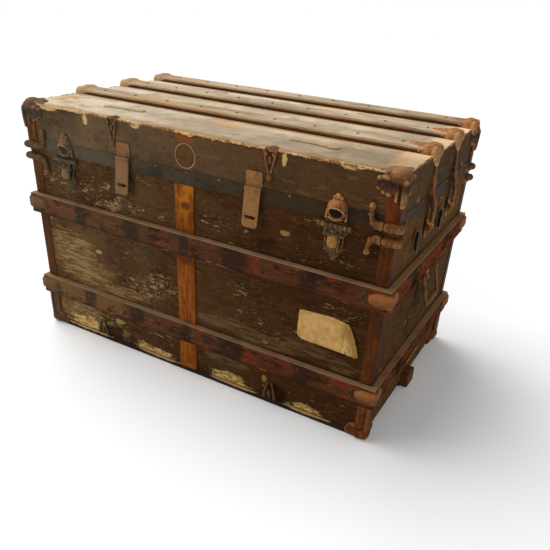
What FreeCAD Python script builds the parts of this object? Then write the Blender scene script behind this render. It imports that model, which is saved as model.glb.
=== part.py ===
import FreeCAD, Part
import math
import os

V = FreeCAD.Vector

# Canvas-covered travelling trunk with wooden slats and iron fittings.
# X runs along the trunk, the front faces -Y and Z is up.
# The origin is on the floor under the middle of the trunk. All lengths are in millimetres.

# Box
trunk_length = 900.0
trunk_width = 506.0
parting_height = 465.0
lid_depth = 104.0
board = 12.0
canvas = 1.0
lining = 0.8
plank_count = 3
overrun = 5.0

# Fits
running_gap = 0.3
pin_play = 0.05
rim_clear = 0.8

# Bottom runners
runner_height = 14.0
runner_width = 47.0
runner_cap_stand = 19.0
runner_cap_height = 38.0
runner_cap_round = 5.0
cap_lift = 0.5

# Side slats and their corner caps
slat_height = 47.0
slat_thick = 13.0
slat_low_shares = (0.198, 0.671)
cap_wall = 2.2
cap_flange = 1.6
cap_leg_front = 68.0
cap_leg_end = 60.0
cap_round = 1.4
cap_ball = 22.5
cap_boss = 11.0
cap_boss_depth = 6.5
cap_boss_inset = 10.0

# Lid slats and their end caps
top_slat_thick = 11.0
top_slat_width = 52.0
lid_slat_shares = (-0.375, 0.245)
top_cap_wall = 3.5
top_cap_length = 60.0
top_cap_drop = 24.0
top_cap_stand = 5.0
top_cap_round = 2.6
top_cap_boss = 13.0
top_cap_boss_depth = 7.5

# Iron band round the lid's lower edge, and the guide rim inside the base
band_height = 29.0
band_thick = 1.2
rim_thick = 1.5
rim_rise = 10.0
rim_depth = 25.0
lid_lining_gap = 2.0

# Corner work
binding_width = 25.0
binding_thick = 1.6
strip_thick = 2.8
strip_low = 1.0
strip_lap = 1.0
lid_cap_leg_front = 55.0
lid_cap_leg_end = 74.0
lid_cap_front_drop = 39.0
lid_cap_band_gap = 6.0
lid_cap_end_wrap = 12.0
lid_cap_bulge = 5.0
lid_cap_round = 4.6
lid_cap_lobe = 15.0
lid_cap_lobe_depth = 9.5
bottom_cap_leg = 55.0
bottom_cap_height = 35.0
bottom_post_gap = 8.4
bottom_cap_post_width = 16.0
bottom_cap_bulge = 6.0
bottom_cap_round = 4.0

# Corner clamps above and below the parting line
clamp_thick = 5.0
clamp_reach = 42.0
clamp_wrap = 38.0
clamp_round = 1.8
lid_clamp_near = 3.0
lid_clamp_far = 15.0
lid_clamp_tip = 47.0
base_clamp_near = 10.0
base_clamp_far = 25.0
base_clamp_tip = 50.0
clamp_arm = 3.6
clamp_lean = 6.0
clamp_ball = 5.6

# Front centre strip
centre_strip_width = 47.0
centre_strip_x = -6.0
centre_strip_thick = 3.0

# Edge clips
clip_thick = 1.6
clip_wide = 14.0
clip_narrow = 6.0
clip_top_reach = 18.0
lid_clip_drop = 54.0
lid_clip_shares = (-0.425, 0.429)
base_clip_gap = 15.0
base_clip_shares = (-0.613, 0.487)
end_clip_shares = (-0.475, 0.237, 0.71)
end_clip_height = 30.0

# Round disc and oblong plates on the lid
disc_x = -2.0
disc_gap = 3.0
disc_radius = 26.0
disc_rim = 2.4
disc_thick = 1.4
disc_rim_rise = 1.2
top_plate_length = 108.0
top_plate_width = 42.0
top_plate_thick = 3.0
top_plate_end_inset = 213.0
top_plate_side_share = 0.644
top_plate_round = 1.0

# Latches
latch_inset = 114.0
latch_plate_half = 30.0
latch_plate_height = 78.0
latch_plate_gap = 1.5
latch_plate_thick = 2.0
latch_plate_shares = ((1, 1), (1, 0.68), (0.78, 0.42), (0.45, 0.3), (0.38, 0.1), (0, 0))
latch_pivot_drop = 8.0
latch_pivot_stand = 10.0
latch_pin = 2.2
latch_ear_inner = 28.0
latch_ear_width = 7.0
latch_ear_radius = 5.6
lever_barrel = 5.2
lever_thick = 3.0
lever_wing_half = 26.0
lever_tongue_half = 13.5
lever_reach = 51.0
lever_curl = 5.0
lever_shares = ((1, 0), (1, 0.22), (0.72, 0.42), (0.52, 0.46), (0.52, 0.86), (0.3, 1))
lever_eye = 4.5
lever_eye_x = 15.0
lever_eye_drop = 13.0
lever_scroll = 8.5
spring_width = 10.0
spring_thick = 1.0
spring_half_height = 14.0
spring_drop = 29.0
catch_low = 2.0
catch_high = 42.0
catch_dome = 25.0
catch_dome_sink = 9.0
catch_dome_rise = 17.0
catch_wall = 2.2
catch_arch = 13.0
catch_arch_rise = 6.0
catch_knob = 10.0
catch_knob_rise = 44.0
catch_knob_sink = 4.0
catch_plate_thick = 1.6

# Hasps
hasp_shares = (-0.367, 0.356)
hasp_width = 36.0
hasp_clear = 0.4
hasp_barrel = 3.6
hasp_pin = 1.8
hasp_thick = 2.6
hasp_reach = 75.0
hasp_round = 9.0
hasp_leaf_height = 30.0
hasp_plate_thick = 2.4
hasp_lug_width = 14.0
hasp_slot_width = 24.0
hasp_slot_height = 7.0
hasp_slot_drop = 55.0
staple_drop = 43.0
staple_radius = 11.0
staple_wire = 2.4
staple_plate_half = 22.0
staple_plate_top = 15.0
staple_plate_low = 52.0
staple_plate_thick = 1.6

# Hinges on the back
hinge_shares = (-0.667, 0, 0.667)
hinge_barrel = 4.0
hinge_pin = 1.8
hinge_width = 60.0
hinge_leaf_thick = 2.0
lid_leaf_height = 46.0
base_leaf_height = 48.0
hinge_middle_share = 0.36
leaf_relief = 0.6

# End handles
handle_y = 8.0
handle_below_slat = 14.0
handle_half = 42.0
handle_drop = 60.0
handle_pivot_stand = 12.0
handle_low_stand = 26.0
handle_wire = 4.2
handle_grip = 6.4
handle_grip_half = 28.0
bracket_lug_width = 9.0
bracket_lug_radius = 8.0
bracket_plate_thick = 2.4
bracket_half = 44.0
bracket_leaf_top = 12.0
bracket_leaf_low = 34.0
bracket_leaf_shares = ((1, 1), (1, -0.15), (0.62, -0.5), (0.34, -0.45), (0, -1))
eye_play = 0.2

# End straps, dowel sockets and bumpers, one set under each inner lid slat
strap_stand = 15.0
strap_thick = 4.6
strap_top_half = 7.0
strap_low_half = 13.0
strap_reach = 28.0
strap_bend = 40.0
strap_flare = 12.0
socket_gap = 5.0
socket_height = 40.0
socket_half = 12.0
socket_stand = 14.0
socket_foot = 3.0
socket_hook = 9.0
bumper_forward = 66.0
bumper_half = 9.0
bumper_height = 62.0
bumper_drop = 22.0
bumper_thick = 9.0
bumper_round = 3.0

# Paper label
label_thick = 0.4
label_width = 139.0
label_height = 74.0
label_end_inset = 175.0
label_rise = 54.0
label_shares = ((0.02, 0.94), (0.08, 0.96), (0.5, 1), (0.73, 0.97), (0.8, 0.95), (0.85, 0.84),
                (0.91, 0.6), (0.96, 0.35), (1, 0.07), (0.98, 0), (0.73, 0), (0.47, 0.02),
                (0.08, 0.03), (0.03, 0.09), (0, 0.16), (0.01, 0.83))

# Nails and studs
nail_sides = 10
nail_crown_share = 0.5
nail_radius = 4.0
nail_rise = 1.6
small_nail = 2.6
small_rise = 1.1
stud_radius = 7.0
stud_rise = 4.5
stud_inset = 98.0
stud_height = 37.0
slat_nail_pitch = 98.0
slat_nail_offset = 10.0
band_nail_pitch = 76.0
binding_nail_pitch = 46.0
binding_nail_margin = 12.0

# Planes and heights worked out from the sizes above
half_length = trunk_length / 2
half_width = trunk_width / 2
lid_top = parting_height + lid_depth
wood_x = half_length - canvas
wood_y = half_width - canvas
inside_x = wood_x - board
inside_y = wood_y - board
floor_top = runner_height + board
slat_lows = [parting_height * share for share in slat_low_shares]
low_slat_low, mid_slat_low = slat_lows
slat_x = half_length + slat_thick
slat_y = half_width + slat_thick
slat_top = lid_top + top_slat_thick
binding_face = half_width + binding_thick
band_face = half_width + band_thick
lid_slat_fronts = [half_width * share for share in lid_slat_shares] + [half_width - top_slat_width]
strip_height = lid_depth - lid_cap_front_drop + strip_lap
lid_cap_end_drop = lid_depth - band_height - lid_cap_band_gap
bottom_cap_post = low_slat_low - cap_flange - bottom_post_gap
base_clip_height = low_slat_low - runner_height - base_clip_gap
lid_clip_places = [half_length * share for share in lid_clip_shares]
base_clip_places = [half_length * share for share in base_clip_shares]
end_clip_places = [half_width * share for share in end_clip_shares]
disc_height = band_height + disc_gap + disc_radius
top_plate_x = half_length - top_plate_end_inset
top_plate_y = half_width * top_plate_side_share
latch_x = half_length - latch_inset
hasp_places = [half_length * share for share in hasp_shares]
hasp_pivot_rise = band_height - hasp_barrel - hasp_clear
hasp_pivot_stand = band_thick + hasp_barrel + hasp_clear
staple_crown = staple_radius + staple_wire + running_gap
hasp_lean_share = hasp_reach / (hasp_pivot_rise + staple_drop)
hasp_end_stand = hasp_pivot_stand + (staple_crown - hasp_pivot_stand) * hasp_lean_share
hinge_places = [half_length * share for share in hinge_shares]
hinge_stand = band_thick + running_gap + hinge_barrel
handle_height = mid_slat_low - handle_below_slat
label_x = half_length - label_end_inset
label_low = low_slat_low + slat_height + label_rise
stud_y = half_width - stud_inset


def block(x_span, y_span, z_span):
    """A box between the low and high places given for each axis."""
    low = V(x_span[0], y_span[0], z_span[0])
    return Part.makeBox(x_span[1] - x_span[0], y_span[1] - y_span[0], z_span[1] - z_span[0], low)


def soft_block(x_span, y_span, z_span, radius):
    """A box with every edge rounded."""
    solid = block(x_span, y_span, z_span)
    return solid.makeFillet(radius, solid.Edges)


def face_of(corners):
    return Part.Face(Part.makePolygon(corners + corners[:1]))


def prism_x(points, x_span):
    """An outline of (y, z) points drawn out along X."""
    face = face_of([V(x_span[0], y, z) for y, z in points])
    return face.extrude(V(x_span[1] - x_span[0], 0, 0))


def prism_y(points, y_span):
    """An outline of (x, z) points drawn out along Y."""
    face = face_of([V(x, y_span[0], z) for x, z in points])
    return face.extrude(V(0, y_span[1] - y_span[0], 0))


def both_halves(shares, half, height):
    """The whole outline of a plate from the points of its right half."""
    right = [(a * half, b * height) for a, b in shares]
    left = [(-a, b) for a, b in reversed(right) if a > 0]
    return right + left


def rod(start, axis, radius, length):
    return Part.makeCylinder(radius, length, start, axis)


def rod_x(middle, half, radius):
    """A round bar along X about its middle point."""
    return rod(middle - V(half, 0, 0), V(1, 0, 0), radius, 2 * half)


def rod_y(middle, half, radius):
    """A round bar along Y about its middle point."""
    return rod(middle - V(0, half, 0), V(0, 1, 0), radius, 2 * half)


def ball(place, radius):
    return Part.makeSphere(radius, place)


def link(start, end, radius):
    """A round bar between two points, with round ends."""
    along = end - start
    bar = rod(start, along, radius, along.Length)
    return bar.fuse([ball(start, radius), ball(end, radius)]).removeSplitter()


def nail_head(place, outward, radius, rise):
    """A hand-cut nail's head on a face: many-sided, with sloping facets and a flat top."""
    aside = V(outward.z, outward.x, outward.y)
    onward = outward.cross(aside)
    turns = [math.tau * index / nail_sides for index in range(nail_sides)]
    spokes = [aside * math.cos(turn) + onward * math.sin(turn) for turn in turns]
    foot = [place + spoke * radius for spoke in spokes]
    crown = [place + spoke * (radius * nail_crown_share) + outward * rise for spoke in spokes]
    facets = [face_of([foot[index - 1], foot[index], crown[index], crown[index - 1]])
              for index in range(nail_sides)]
    return Part.makeSolid(Part.makeShell(facets + [face_of(foot), face_of(crown)]))


def dome(place, outward, radius, rise):
    """A round stud: the part of a ball that stands out of a face."""
    curve = (radius ** 2 + rise ** 2) / (2 * rise)
    sunk = curve - rise
    head = ball(place - outward * sunk, curve)
    keep = rod(place, outward, radius + rise, rise + rise)
    return head.common(keep)


def cap_of_ball(place, outward, radius, rise):
    """The ball whose part beyond a face has the given radius and rise."""
    curve = (radius ** 2 + rise ** 2) / (2 * rise)
    return ball(place - outward * (curve - rise), curve)


def flip_x(shape):
    return shape.mirror(V(0, 0, 0), V(1, 0, 0))


def flip_y(shape):
    return shape.mirror(V(0, 0, 0), V(0, 1, 0))


def both_ends(shape):
    return [shape, flip_x(shape)]


def front_and_back(shape):
    return [shape, flip_y(shape)]


def four_corners(shape):
    return [shape, flip_x(shape), flip_y(shape), flip_x(flip_y(shape))]


def span(middle, half):
    return (middle - half, middle + half)


def spread(low, high, pitch):
    """Even places between two ends, as near the pitch as whole steps allow."""
    steps = max(1, round((high - low) / pitch))
    return [low + (high - low) * index / steps for index in range(steps + 1)]


def save(name, shapes):
    """Write one node. Separate solids stay separate."""
    solids = [solid for shape in shapes for solid in shape.Solids]
    whole = solids[0] if len(solids) == 1 else Part.makeCompound(solids)
    whole.exportStep(f"parts/{name}.step")


# Shapes that other pieces are cut to
base_block = block(span(0, half_length), span(0, half_width), (runner_height, parting_height))
lid_block = block(span(0, half_length), span(0, half_width), (parting_height, lid_top))
trunk_block = block(span(0, half_length), span(0, half_width), (runner_height, lid_top))
slat_ring_blocks = [
    block(span(0, slat_x), span(0, slat_y), (low, low + slat_height)) for low in slat_lows]


def long_slat(low):
    return block(span(0, slat_x), (-slat_y, -half_width), (low, low + slat_height))


def end_slat(low):
    return block((half_length, slat_x), span(0, half_width), (low, low + slat_height))


def boards():
    """The wooden box: four walls and a planked bottom inside them."""
    wall = (runner_height, parting_height)
    front = block(span(0, wood_x), (-wood_y, -inside_y), wall)
    save("front_board", [front])
    save("back_board", [flip_y(front)])
    right = block((inside_x, wood_x), span(0, inside_y), wall)
    save("right_end_board", [right])
    save("left_end_board", [flip_x(right)])
    plank = 2 * inside_y / plank_count
    planks = [
        block(span(0, inside_x), (-inside_y + index * plank, -inside_y + (index + 1) * plank),
              (runner_height, floor_top))
        for index in range(plank_count)]
    save("bottom_planks", planks)


def skins():
    """The canvas outside the base and the paper inside it."""
    core = block(span(0, wood_x), span(0, wood_y), (0, lid_top))
    save("base_canvas", [base_block.cut(core)])
    paper = block(span(0, inside_x), span(0, inside_y), (floor_top, parting_height))
    hollow = block(span(0, inside_x - lining), span(0, inside_y - lining),
                   (floor_top + lining, lid_top))
    save("base_lining", [paper.cut(hollow)])


def guide_rim():
    """An iron rim inside the front and ends that guides the closing lid."""
    outer_x = inside_x - rim_clear
    outer_y = inside_y - rim_clear
    heights = (parting_height - rim_depth, parting_height + rim_rise)
    back = inside_y - board
    outer = block(span(0, outer_x), (-outer_y, back), heights)
    inner = block(span(0, outer_x - rim_thick), (-outer_y + rim_thick, back + overrun), heights)
    save("lid_guide_rim", [outer.cut(inner)])


def runners():
    """Three lengthwise runners carry the trunk; the middle one has capped ends."""
    edge = half_width - runner_width / 2
    bars = [block(span(0, half_length), span(y, runner_width / 2), (0, runner_height))
            for y in (-edge, 0, edge)]
    save("bottom_runners", bars)
    cap = soft_block((half_length - overrun, half_length + runner_cap_stand),
                     span(0, runner_width / 2), (cap_lift, runner_cap_height), runner_cap_round)
    behind = block(span(0, half_length), span(0, half_width), (0, runner_cap_height))
    save("runner_end_caps", both_ends(cap.cut(behind)))


def slats():
    """Slats round the box at two heights. The long ones run past the ends."""
    fronts = [long_slat(low) for low in slat_lows]
    save("front_slats", fronts)
    save("back_slats", [flip_y(slat) for slat in fronts])
    rights = [end_slat(low) for low in slat_lows]
    save("right_end_slats", rights)
    save("left_end_slats", [flip_x(slat) for slat in rights])


def slat_corner_cap(low, ring):
    """An iron cap over a slat corner: two legs, bosses at their ends and a round knob."""
    middle = low + slat_height / 2
    out_x = slat_x + cap_wall
    out_y = slat_y + cap_wall
    heights = (low - cap_flange, low + slat_height + cap_flange)
    front_leg = soft_block((slat_x - cap_leg_front, out_x), (-out_y, -half_width + overrun),
                           heights, cap_round)
    end_leg = soft_block((half_length - overrun, out_x), (-out_y, -slat_y + cap_leg_end),
                         heights, cap_round)
    knob = ball(V(half_length, -half_width, middle), cap_ball)
    front_boss = cap_of_ball(V(slat_x - cap_leg_front + cap_boss_inset, -slat_y, middle),
                             V(0, -1, 0), cap_boss, cap_boss_depth)
    end_boss = cap_of_ball(V(slat_x, -slat_y + cap_leg_end - cap_boss_inset, middle),
                           V(1, 0, 0), cap_boss, cap_boss_depth)
    whole = front_leg.fuse([end_leg, knob, front_boss, end_boss])
    return whole.cut(ring).cut(trunk_block)


def slat_corner_caps():
    caps = []
    for low, ring in zip(slat_lows, slat_ring_blocks):
        caps += four_corners(slat_corner_cap(low, ring))
    save("slat_corner_caps", caps)


def corner_angle(thick, width, z_low, z_high):
    """An angle of thin stuff wrapped round the front right corner."""
    outer = block((half_length - width, half_length + thick),
                  (-half_width - thick, -half_width + width), (z_low, z_high))
    return outer.cut(trunk_block)


def corner_bindings():
    """Angles on the corners between the slats."""
    stops = [(bottom_cap_height + bottom_cap_bulge, low_slat_low - cap_flange),
             (low_slat_low + slat_height + cap_flange, mid_slat_low - cap_flange),
             (mid_slat_low + slat_height + cap_flange, parting_height - strip_low)]
    post = bottom_cap_block()
    angles = []
    for z_low, z_high in stops:
        angles += four_corners(corner_angle(binding_thick, binding_width, z_low, z_high).cut(post))
    save("base_corner_bindings", angles)


def bottom_cap_block():
    """The rounded outside of a bottom corner cap, before it is cut to the box."""
    out_x = half_length + bottom_cap_bulge
    out_y = half_width + bottom_cap_bulge
    shoe = soft_block((half_length - bottom_cap_leg, out_x), (-out_y, -half_width + bottom_cap_leg),
                      (cap_lift, bottom_cap_height), bottom_cap_round)
    post = soft_block((half_length - bottom_cap_post_width, out_x),
                      (-out_y, -half_width + bottom_cap_post_width),
                      (cap_lift, bottom_cap_post), bottom_cap_round)
    return shoe.fuse(post)


def bottom_corner_caps():
    inside = block(span(0, half_length), span(0, half_width), (0, lid_top))
    save("bottom_corner_caps", four_corners(bottom_cap_block().cut(inside)))


def corner_clamp(near, far, tip, way, face):
    """A clamp round a corner: a bar, and an arm with a ball on the front.
    way is 1 above the parting line and -1 below it; face is how far out it is seated."""
    heights = sorted((parting_height + way * near, parting_height + way * far))
    out = face + clamp_thick
    bar = soft_block((half_length - clamp_reach, half_length + out),
                     (-half_width - out, -half_width + clamp_wrap), heights, clamp_round)
    seat = block((0, half_length + face), (-half_width - face, 0), (0, lid_top))
    bar = bar.cut(seat)
    arm_y = -half_width - face - clamp_arm
    root = V(half_length - clamp_reach + clamp_arm, arm_y, parting_height + way * far)
    end = V(half_length - clamp_reach - clamp_lean, arm_y, parting_height + way * (tip - clamp_ball))
    foot = V(root.x, root.y, parting_height + way * (near + far) / 2)
    arm = link(foot, root, clamp_arm).fuse([link(root, end, clamp_arm), ball(end, clamp_ball)])
    return bar.fuse(arm).cut(trunk_block).removeSplitter()


def corner_clamps():
    base = corner_clamp(base_clamp_near, base_clamp_far, base_clamp_tip, -1, binding_thick)
    save("base_corner_clamps", four_corners(base))
    lid = corner_clamp(lid_clamp_near, lid_clamp_far, lid_clamp_tip, 1, strip_thick)
    save("lid_corner_clamps", four_corners(lid))


def centre_strip():
    """A varnished strip down the middle of the front, between the slats."""
    stops = [(runner_height, low_slat_low),
             (low_slat_low + slat_height, mid_slat_low),
             (mid_slat_low + slat_height, parting_height - strip_low)]
    strips = [block(span(centre_strip_x, centre_strip_width / 2),
                    (-half_width - centre_strip_thick, -half_width), stop) for stop in stops]
    save("front_centre_strip", strips)


def clip_outline(x, wide_z, narrow_z):
    return [(x - clip_wide, wide_z), (x + clip_wide, wide_z),
            (x + clip_narrow, narrow_z), (x - clip_narrow, narrow_z)]


def edge_clips():
    """Tapered iron clips: on the lid's top front edge and along the bottom edges."""
    out = -half_width - clip_thick
    lid_clips = []
    for x in lid_clip_places:
        face = prism_y(clip_outline(x, lid_top + clip_thick, lid_top - lid_clip_drop),
                       (out, -half_width))
        top = block(span(x, clip_wide), (out, -half_width + clip_top_reach),
                    (lid_top, lid_top + clip_thick))
        lid_clips.append(face.fuse(top).removeSplitter())
    save("lid_front_clips", lid_clips)

    base_clips = []
    for x in base_clip_places:
        clip = prism_y(clip_outline(x, runner_height, runner_height + base_clip_height),
                       (out, -half_width))
        base_clips += front_and_back(clip)
    end_face = (half_length, half_length + clip_thick)
    for y in end_clip_places:
        clip = prism_x(clip_outline(y, runner_height, runner_height + end_clip_height), end_face)
        base_clips += both_ends(clip)
    save("bottom_edge_clips", base_clips)


def lid_boards():
    """The lid: four low walls with planks across their tops."""
    under = lid_top - canvas - board
    wall = (parting_height, under)
    front = block(span(0, wood_x), (-wood_y, -inside_y), wall)
    save("lid_front_rail", [front])
    save("lid_back_rail", [flip_y(front)])
    right = block((inside_x, wood_x), span(0, inside_y), wall)
    save("lid_right_rail", [right])
    save("lid_left_rail", [flip_x(right)])
    plank = 2 * wood_y / plank_count
    planks = [
        block(span(0, wood_x), (-wood_y + index * plank, -wood_y + (index + 1) * plank),
              (under, under + board))
        for index in range(plank_count)]
    save("lid_top_planks", planks)


def lid_skins():
    """Canvas over the lid, paper under it and the iron band round its edge."""
    core = block(span(0, wood_x), span(0, wood_y), (0, lid_top - canvas))
    save("lid_canvas", [lid_block.cut(core)])
    under = lid_top - canvas - board
    low = parting_height + rim_rise + lid_lining_gap
    paper = block(span(0, inside_x), span(0, inside_y), (low, under))
    hollow = block(span(0, inside_x - lining), span(0, inside_y - lining), (0, under - lining))
    save("lid_lining", [paper.cut(hollow)])
    save("lid_band", [band_ring()])


def band_ring():
    outer = block(span(0, half_length + band_thick), span(0, band_face),
                  (parting_height, parting_height + band_height))
    return outer.cut(trunk_block)


def lid_slat(front_y, length_half):
    return block(span(0, length_half), (front_y, front_y + top_slat_width), (lid_top, slat_top))


def lid_slats():
    save("lid_slats", [lid_slat(front_y, half_length) for front_y in lid_slat_fronts])
    caps = []
    for front_y in lid_slat_fronts:
        caps += both_ends(lid_slat_cap(front_y))
    save("lid_slat_caps", caps)


def lid_slat_cap(front_y):
    """An iron cap over a lid slat's right end, turned down over the trunk's end."""
    sides = (front_y - top_cap_wall, front_y + top_slat_width + top_cap_wall)
    body = soft_block((half_length - top_cap_length, half_length + top_cap_stand), sides,
                      (lid_top - top_cap_drop, slat_top + top_cap_wall), top_cap_round)
    middle = front_y + top_slat_width / 2
    boss = cap_of_ball(V(half_length - top_cap_boss, middle, slat_top), V(0, 0, 1),
                       top_cap_boss, top_cap_boss_depth)
    return body.fuse(boss).cut(lid_slat(front_y, half_length)).cut(trunk_block)


def corner_strips():
    """Wooden angles on the lid's corners, lapped over the band."""
    angle = corner_angle(strip_thick, binding_width, parting_height + strip_low,
                         parting_height + strip_height)
    save("lid_corner_strips", four_corners(angle.cut(band_ring())))


def lid_corner_cap():
    """A domed iron cap on the lid's front right corner, with lobed ends."""
    out_x = half_length + lid_cap_bulge
    out_y = half_width + lid_cap_bulge
    high = lid_top + lid_cap_bulge
    front = soft_block((half_length - lid_cap_leg_front, out_x),
                       (-out_y, -half_width + lid_cap_leg_end),
                       (lid_top - lid_cap_front_drop, high), lid_cap_round)
    end = soft_block((half_length - lid_cap_end_wrap, out_x),
                     (-out_y, -half_width + lid_cap_leg_end),
                     (lid_top - lid_cap_end_drop, high), lid_cap_round)
    lobe_z = lid_top - lid_cap_front_drop / 2
    lobes = [
        cap_of_ball(V(half_length - lid_cap_leg_front + lid_cap_bulge, -half_width, lobe_z),
                    V(0, -1, 0), lid_cap_lobe, lid_cap_lobe_depth),
        cap_of_ball(V(half_length - lid_cap_leg_front / 2, -half_width, lid_top - lid_cap_front_drop),
                    V(0, -1, 0), lid_cap_lobe, lid_cap_lobe_depth),
        cap_of_ball(V(half_length - lid_cap_leg_front / 2, -half_width + lid_cap_leg_end / 2, lid_top),
                    V(0, 0, 1), lid_cap_lobe, lid_cap_lobe_depth)]
    strip = corner_angle(strip_thick, binding_width, 0, parting_height + strip_height)
    return front.fuse([end] + lobes).cut(trunk_block).cut(strip)


def lid_corner_caps():
    """The back caps are notched round the slat along the back edge."""
    cap = lid_corner_cap()
    back_front = lid_slat_fronts[-1] - top_cap_wall
    notch = block(span(0, half_length + top_cap_stand), (back_front, half_width + overrun + overrun),
                  (lid_top - top_cap_drop, slat_top + top_cap_wall))
    save("lid_corner_caps", both_ends(cap) + both_ends(flip_y(cap).cut(notch)))


def lid_plates():
    """Oblong plates between the lid slats, and the round disc on the lid's front."""
    radius = top_plate_width / 2
    middle = block(span(0, top_plate_length / 2 - radius), span(0, radius), (0, top_plate_thick))
    rounds = [rod(V(x, 0, 0), V(0, 0, 1), radius, top_plate_thick)
              for x in span(0, top_plate_length / 2 - radius)]
    plate = middle.fuse(rounds).removeSplitter()
    rim = [edge for edge in plate.Edges
           if all(abs(vertex.Z - top_plate_thick) < canvas / 2 for vertex in edge.Vertexes)]
    plate = plate.makeFillet(top_plate_round, rim)
    plate.translate(V(top_plate_x, -top_plate_y, lid_top))
    save("lid_top_plates", four_corners(plate))

    centre = V(disc_x, -half_width, parting_height + disc_height)
    out = V(0, -1, 0)
    ring = rod(centre, out, disc_radius, disc_thick + disc_rim_rise)
    recess = rod(centre + out * disc_thick, out, disc_radius - disc_rim, disc_thick + disc_rim_rise)
    save("lid_front_disc", [ring.cut(recess)])


def latch_base(x):
    """The latch's plate and ears, its pin, spring and lever, all on the base."""
    plate_top = parting_height - latch_plate_gap
    points = both_halves(latch_plate_shares, latch_plate_half, latch_plate_height)
    placed = [(x + a, plate_top - latch_plate_height + b) for a, b in points]
    face = -half_width - latch_plate_thick
    plate = prism_y(placed, (face, -half_width))
    pivot = V(x, -half_width - latch_pivot_stand, parting_height - latch_pivot_drop)
    bore = rod_x(pivot, latch_plate_half + latch_ear_width, latch_pin)
    ears = []
    for side in (-1, 1):
        near = x + side * latch_ear_inner
        sides = sorted((near, near + side * latch_ear_width))
        foot = block(sides, (pivot.y, -half_width), span(pivot.z, latch_ear_radius))
        knob = rod_x(V(sum(sides) / 2, pivot.y, pivot.z), latch_ear_width / 2, latch_ear_radius)
        ears.append(foot.fuse(knob))
    fixed = plate.fuse(ears).removeSplitter().cut(bore)
    pin = rod_x(pivot, latch_ear_inner + latch_ear_width, latch_pin)

    middle = parting_height - spring_drop
    reach = face - (latch_pivot_stand - latch_plate_thick - running_gap)
    spring = prism_x([(face, middle + spring_half_height),
                      (reach, middle),
                      (face, middle - spring_half_height),
                      (face, middle - spring_half_height + spring_thick + spring_thick),
                      (reach + spring_thick, middle),
                      (face, middle + spring_half_height - spring_thick - spring_thick)],
                     span(x, spring_width / 2))
    return fixed, pin, spring


def latch_lever(x):
    """A scrolled lever that hangs from the latch pin and swings out."""
    pivot = V(x, -half_width - latch_pivot_stand, parting_height - latch_pivot_drop)
    half_barrel = latch_ear_inner - running_gap
    barrel = rod_x(pivot, half_barrel, lever_barrel)
    points = both_halves(lever_shares, lever_wing_half, -lever_reach)
    plate = prism_y([(x + a, pivot.z + b) for a, b in points], (pivot.y - lever_thick, pivot.y))
    curl = rod_x(V(x, pivot.y - lever_thick, pivot.z - lever_reach + lever_curl),
                 lever_tongue_half / 2, lever_curl)
    scrolls = []
    eyes = []
    for side in (-1, 1):
        place = V(x + side * lever_eye_x, pivot.y, pivot.z - lever_eye_drop)
        scrolls.append(rod(place, V(0, -1, 0), lever_scroll, lever_thick + lever_thick / 2))
        eyes.append(rod_y(place, overrun + overrun, lever_eye))
    whole = barrel.fuse([plate, curl] + scrolls).cut(eyes)
    bore = rod_x(pivot, half_barrel + overrun, latch_pin + pin_play)
    behind = block(span(x, latch_ear_inner),
                   (pivot.y, -half_width), (0, pivot.z - lever_barrel))
    return whole.cut(bore).cut(behind).removeSplitter()


def latch_catch(x):
    """The hood on the lid that the lever closes under: a plate, a hollow dome and a knob."""
    face = -band_face - catch_plate_thick
    low = parting_height + catch_low
    high = parting_height + catch_high
    plate = block(span(x, catch_dome), (face, -band_face), (low, high))
    plate = plate.fuse(block(span(x, catch_dome), (face, -half_width),
                             (parting_height + band_height, high)))
    middle = V(x, -band_face + catch_dome_sink, parting_height + catch_dome_rise)
    outside = block(span(x, catch_dome + overrun), (-half_width - catch_dome - overrun, face),
                    (low, high + catch_dome))
    shell = ball(middle, catch_dome).cut(ball(middle, catch_dome - catch_wall)).common(outside)
    arch = rod_y(V(x, face - catch_dome / 2, low + catch_arch_rise), catch_dome / 2 - running_gap,
                 catch_arch)
    shell = shell.cut(arch)
    knob_place = V(x, face + catch_knob_sink, parting_height + catch_knob_rise)
    knob = ball(knob_place, catch_knob)
    whole = plate.fuse([shell, knob])
    cavity = ball(middle, catch_dome - catch_wall).common(outside)
    return whole.cut(cavity).cut(lid_block).cut(band_ring()).removeSplitter()


def latches():
    bases = [latch_base(x) for x in span(0, latch_x)]
    save("latch_plates", [fixed for fixed, pin, spring in bases])
    save("latch_pins", [pin for fixed, pin, spring in bases])
    save("latch_springs", [spring for fixed, pin, spring in bases])
    save("latch_catches", [latch_catch(x) for x in span(0, latch_x)])
    save("left_latch_lever", [latch_lever(-latch_x)])
    save("right_latch_lever", [latch_lever(latch_x)])


def hasp_pivot(x):
    return V(x, -half_width - hasp_pivot_stand, parting_height + hasp_pivot_rise)


def hasp_plate(x):
    """The hasp's upper leaf on the lid, with one knuckle in the middle."""
    pivot = hasp_pivot(x)
    band_top = parting_height + band_height
    leaf = block(span(x, hasp_width / 2), (-half_width - hasp_plate_thick, -half_width),
                 (band_top, band_top + hasp_leaf_height))
    knuckle = rod_x(pivot, hasp_lug_width / 2, hasp_barrel)
    tie = block(span(x, hasp_lug_width / 2), (pivot.y, -band_face), (pivot.z, band_top + hasp_thick))
    web = block(span(x, hasp_lug_width / 2), (pivot.y, -half_width),
                (band_top, band_top + hasp_thick))
    bore = rod_x(pivot, hasp_width, hasp_pin)
    return leaf.fuse([knuckle, tie, web]).cut(lid_block).cut(band_ring()).cut(bore).removeSplitter()


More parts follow.
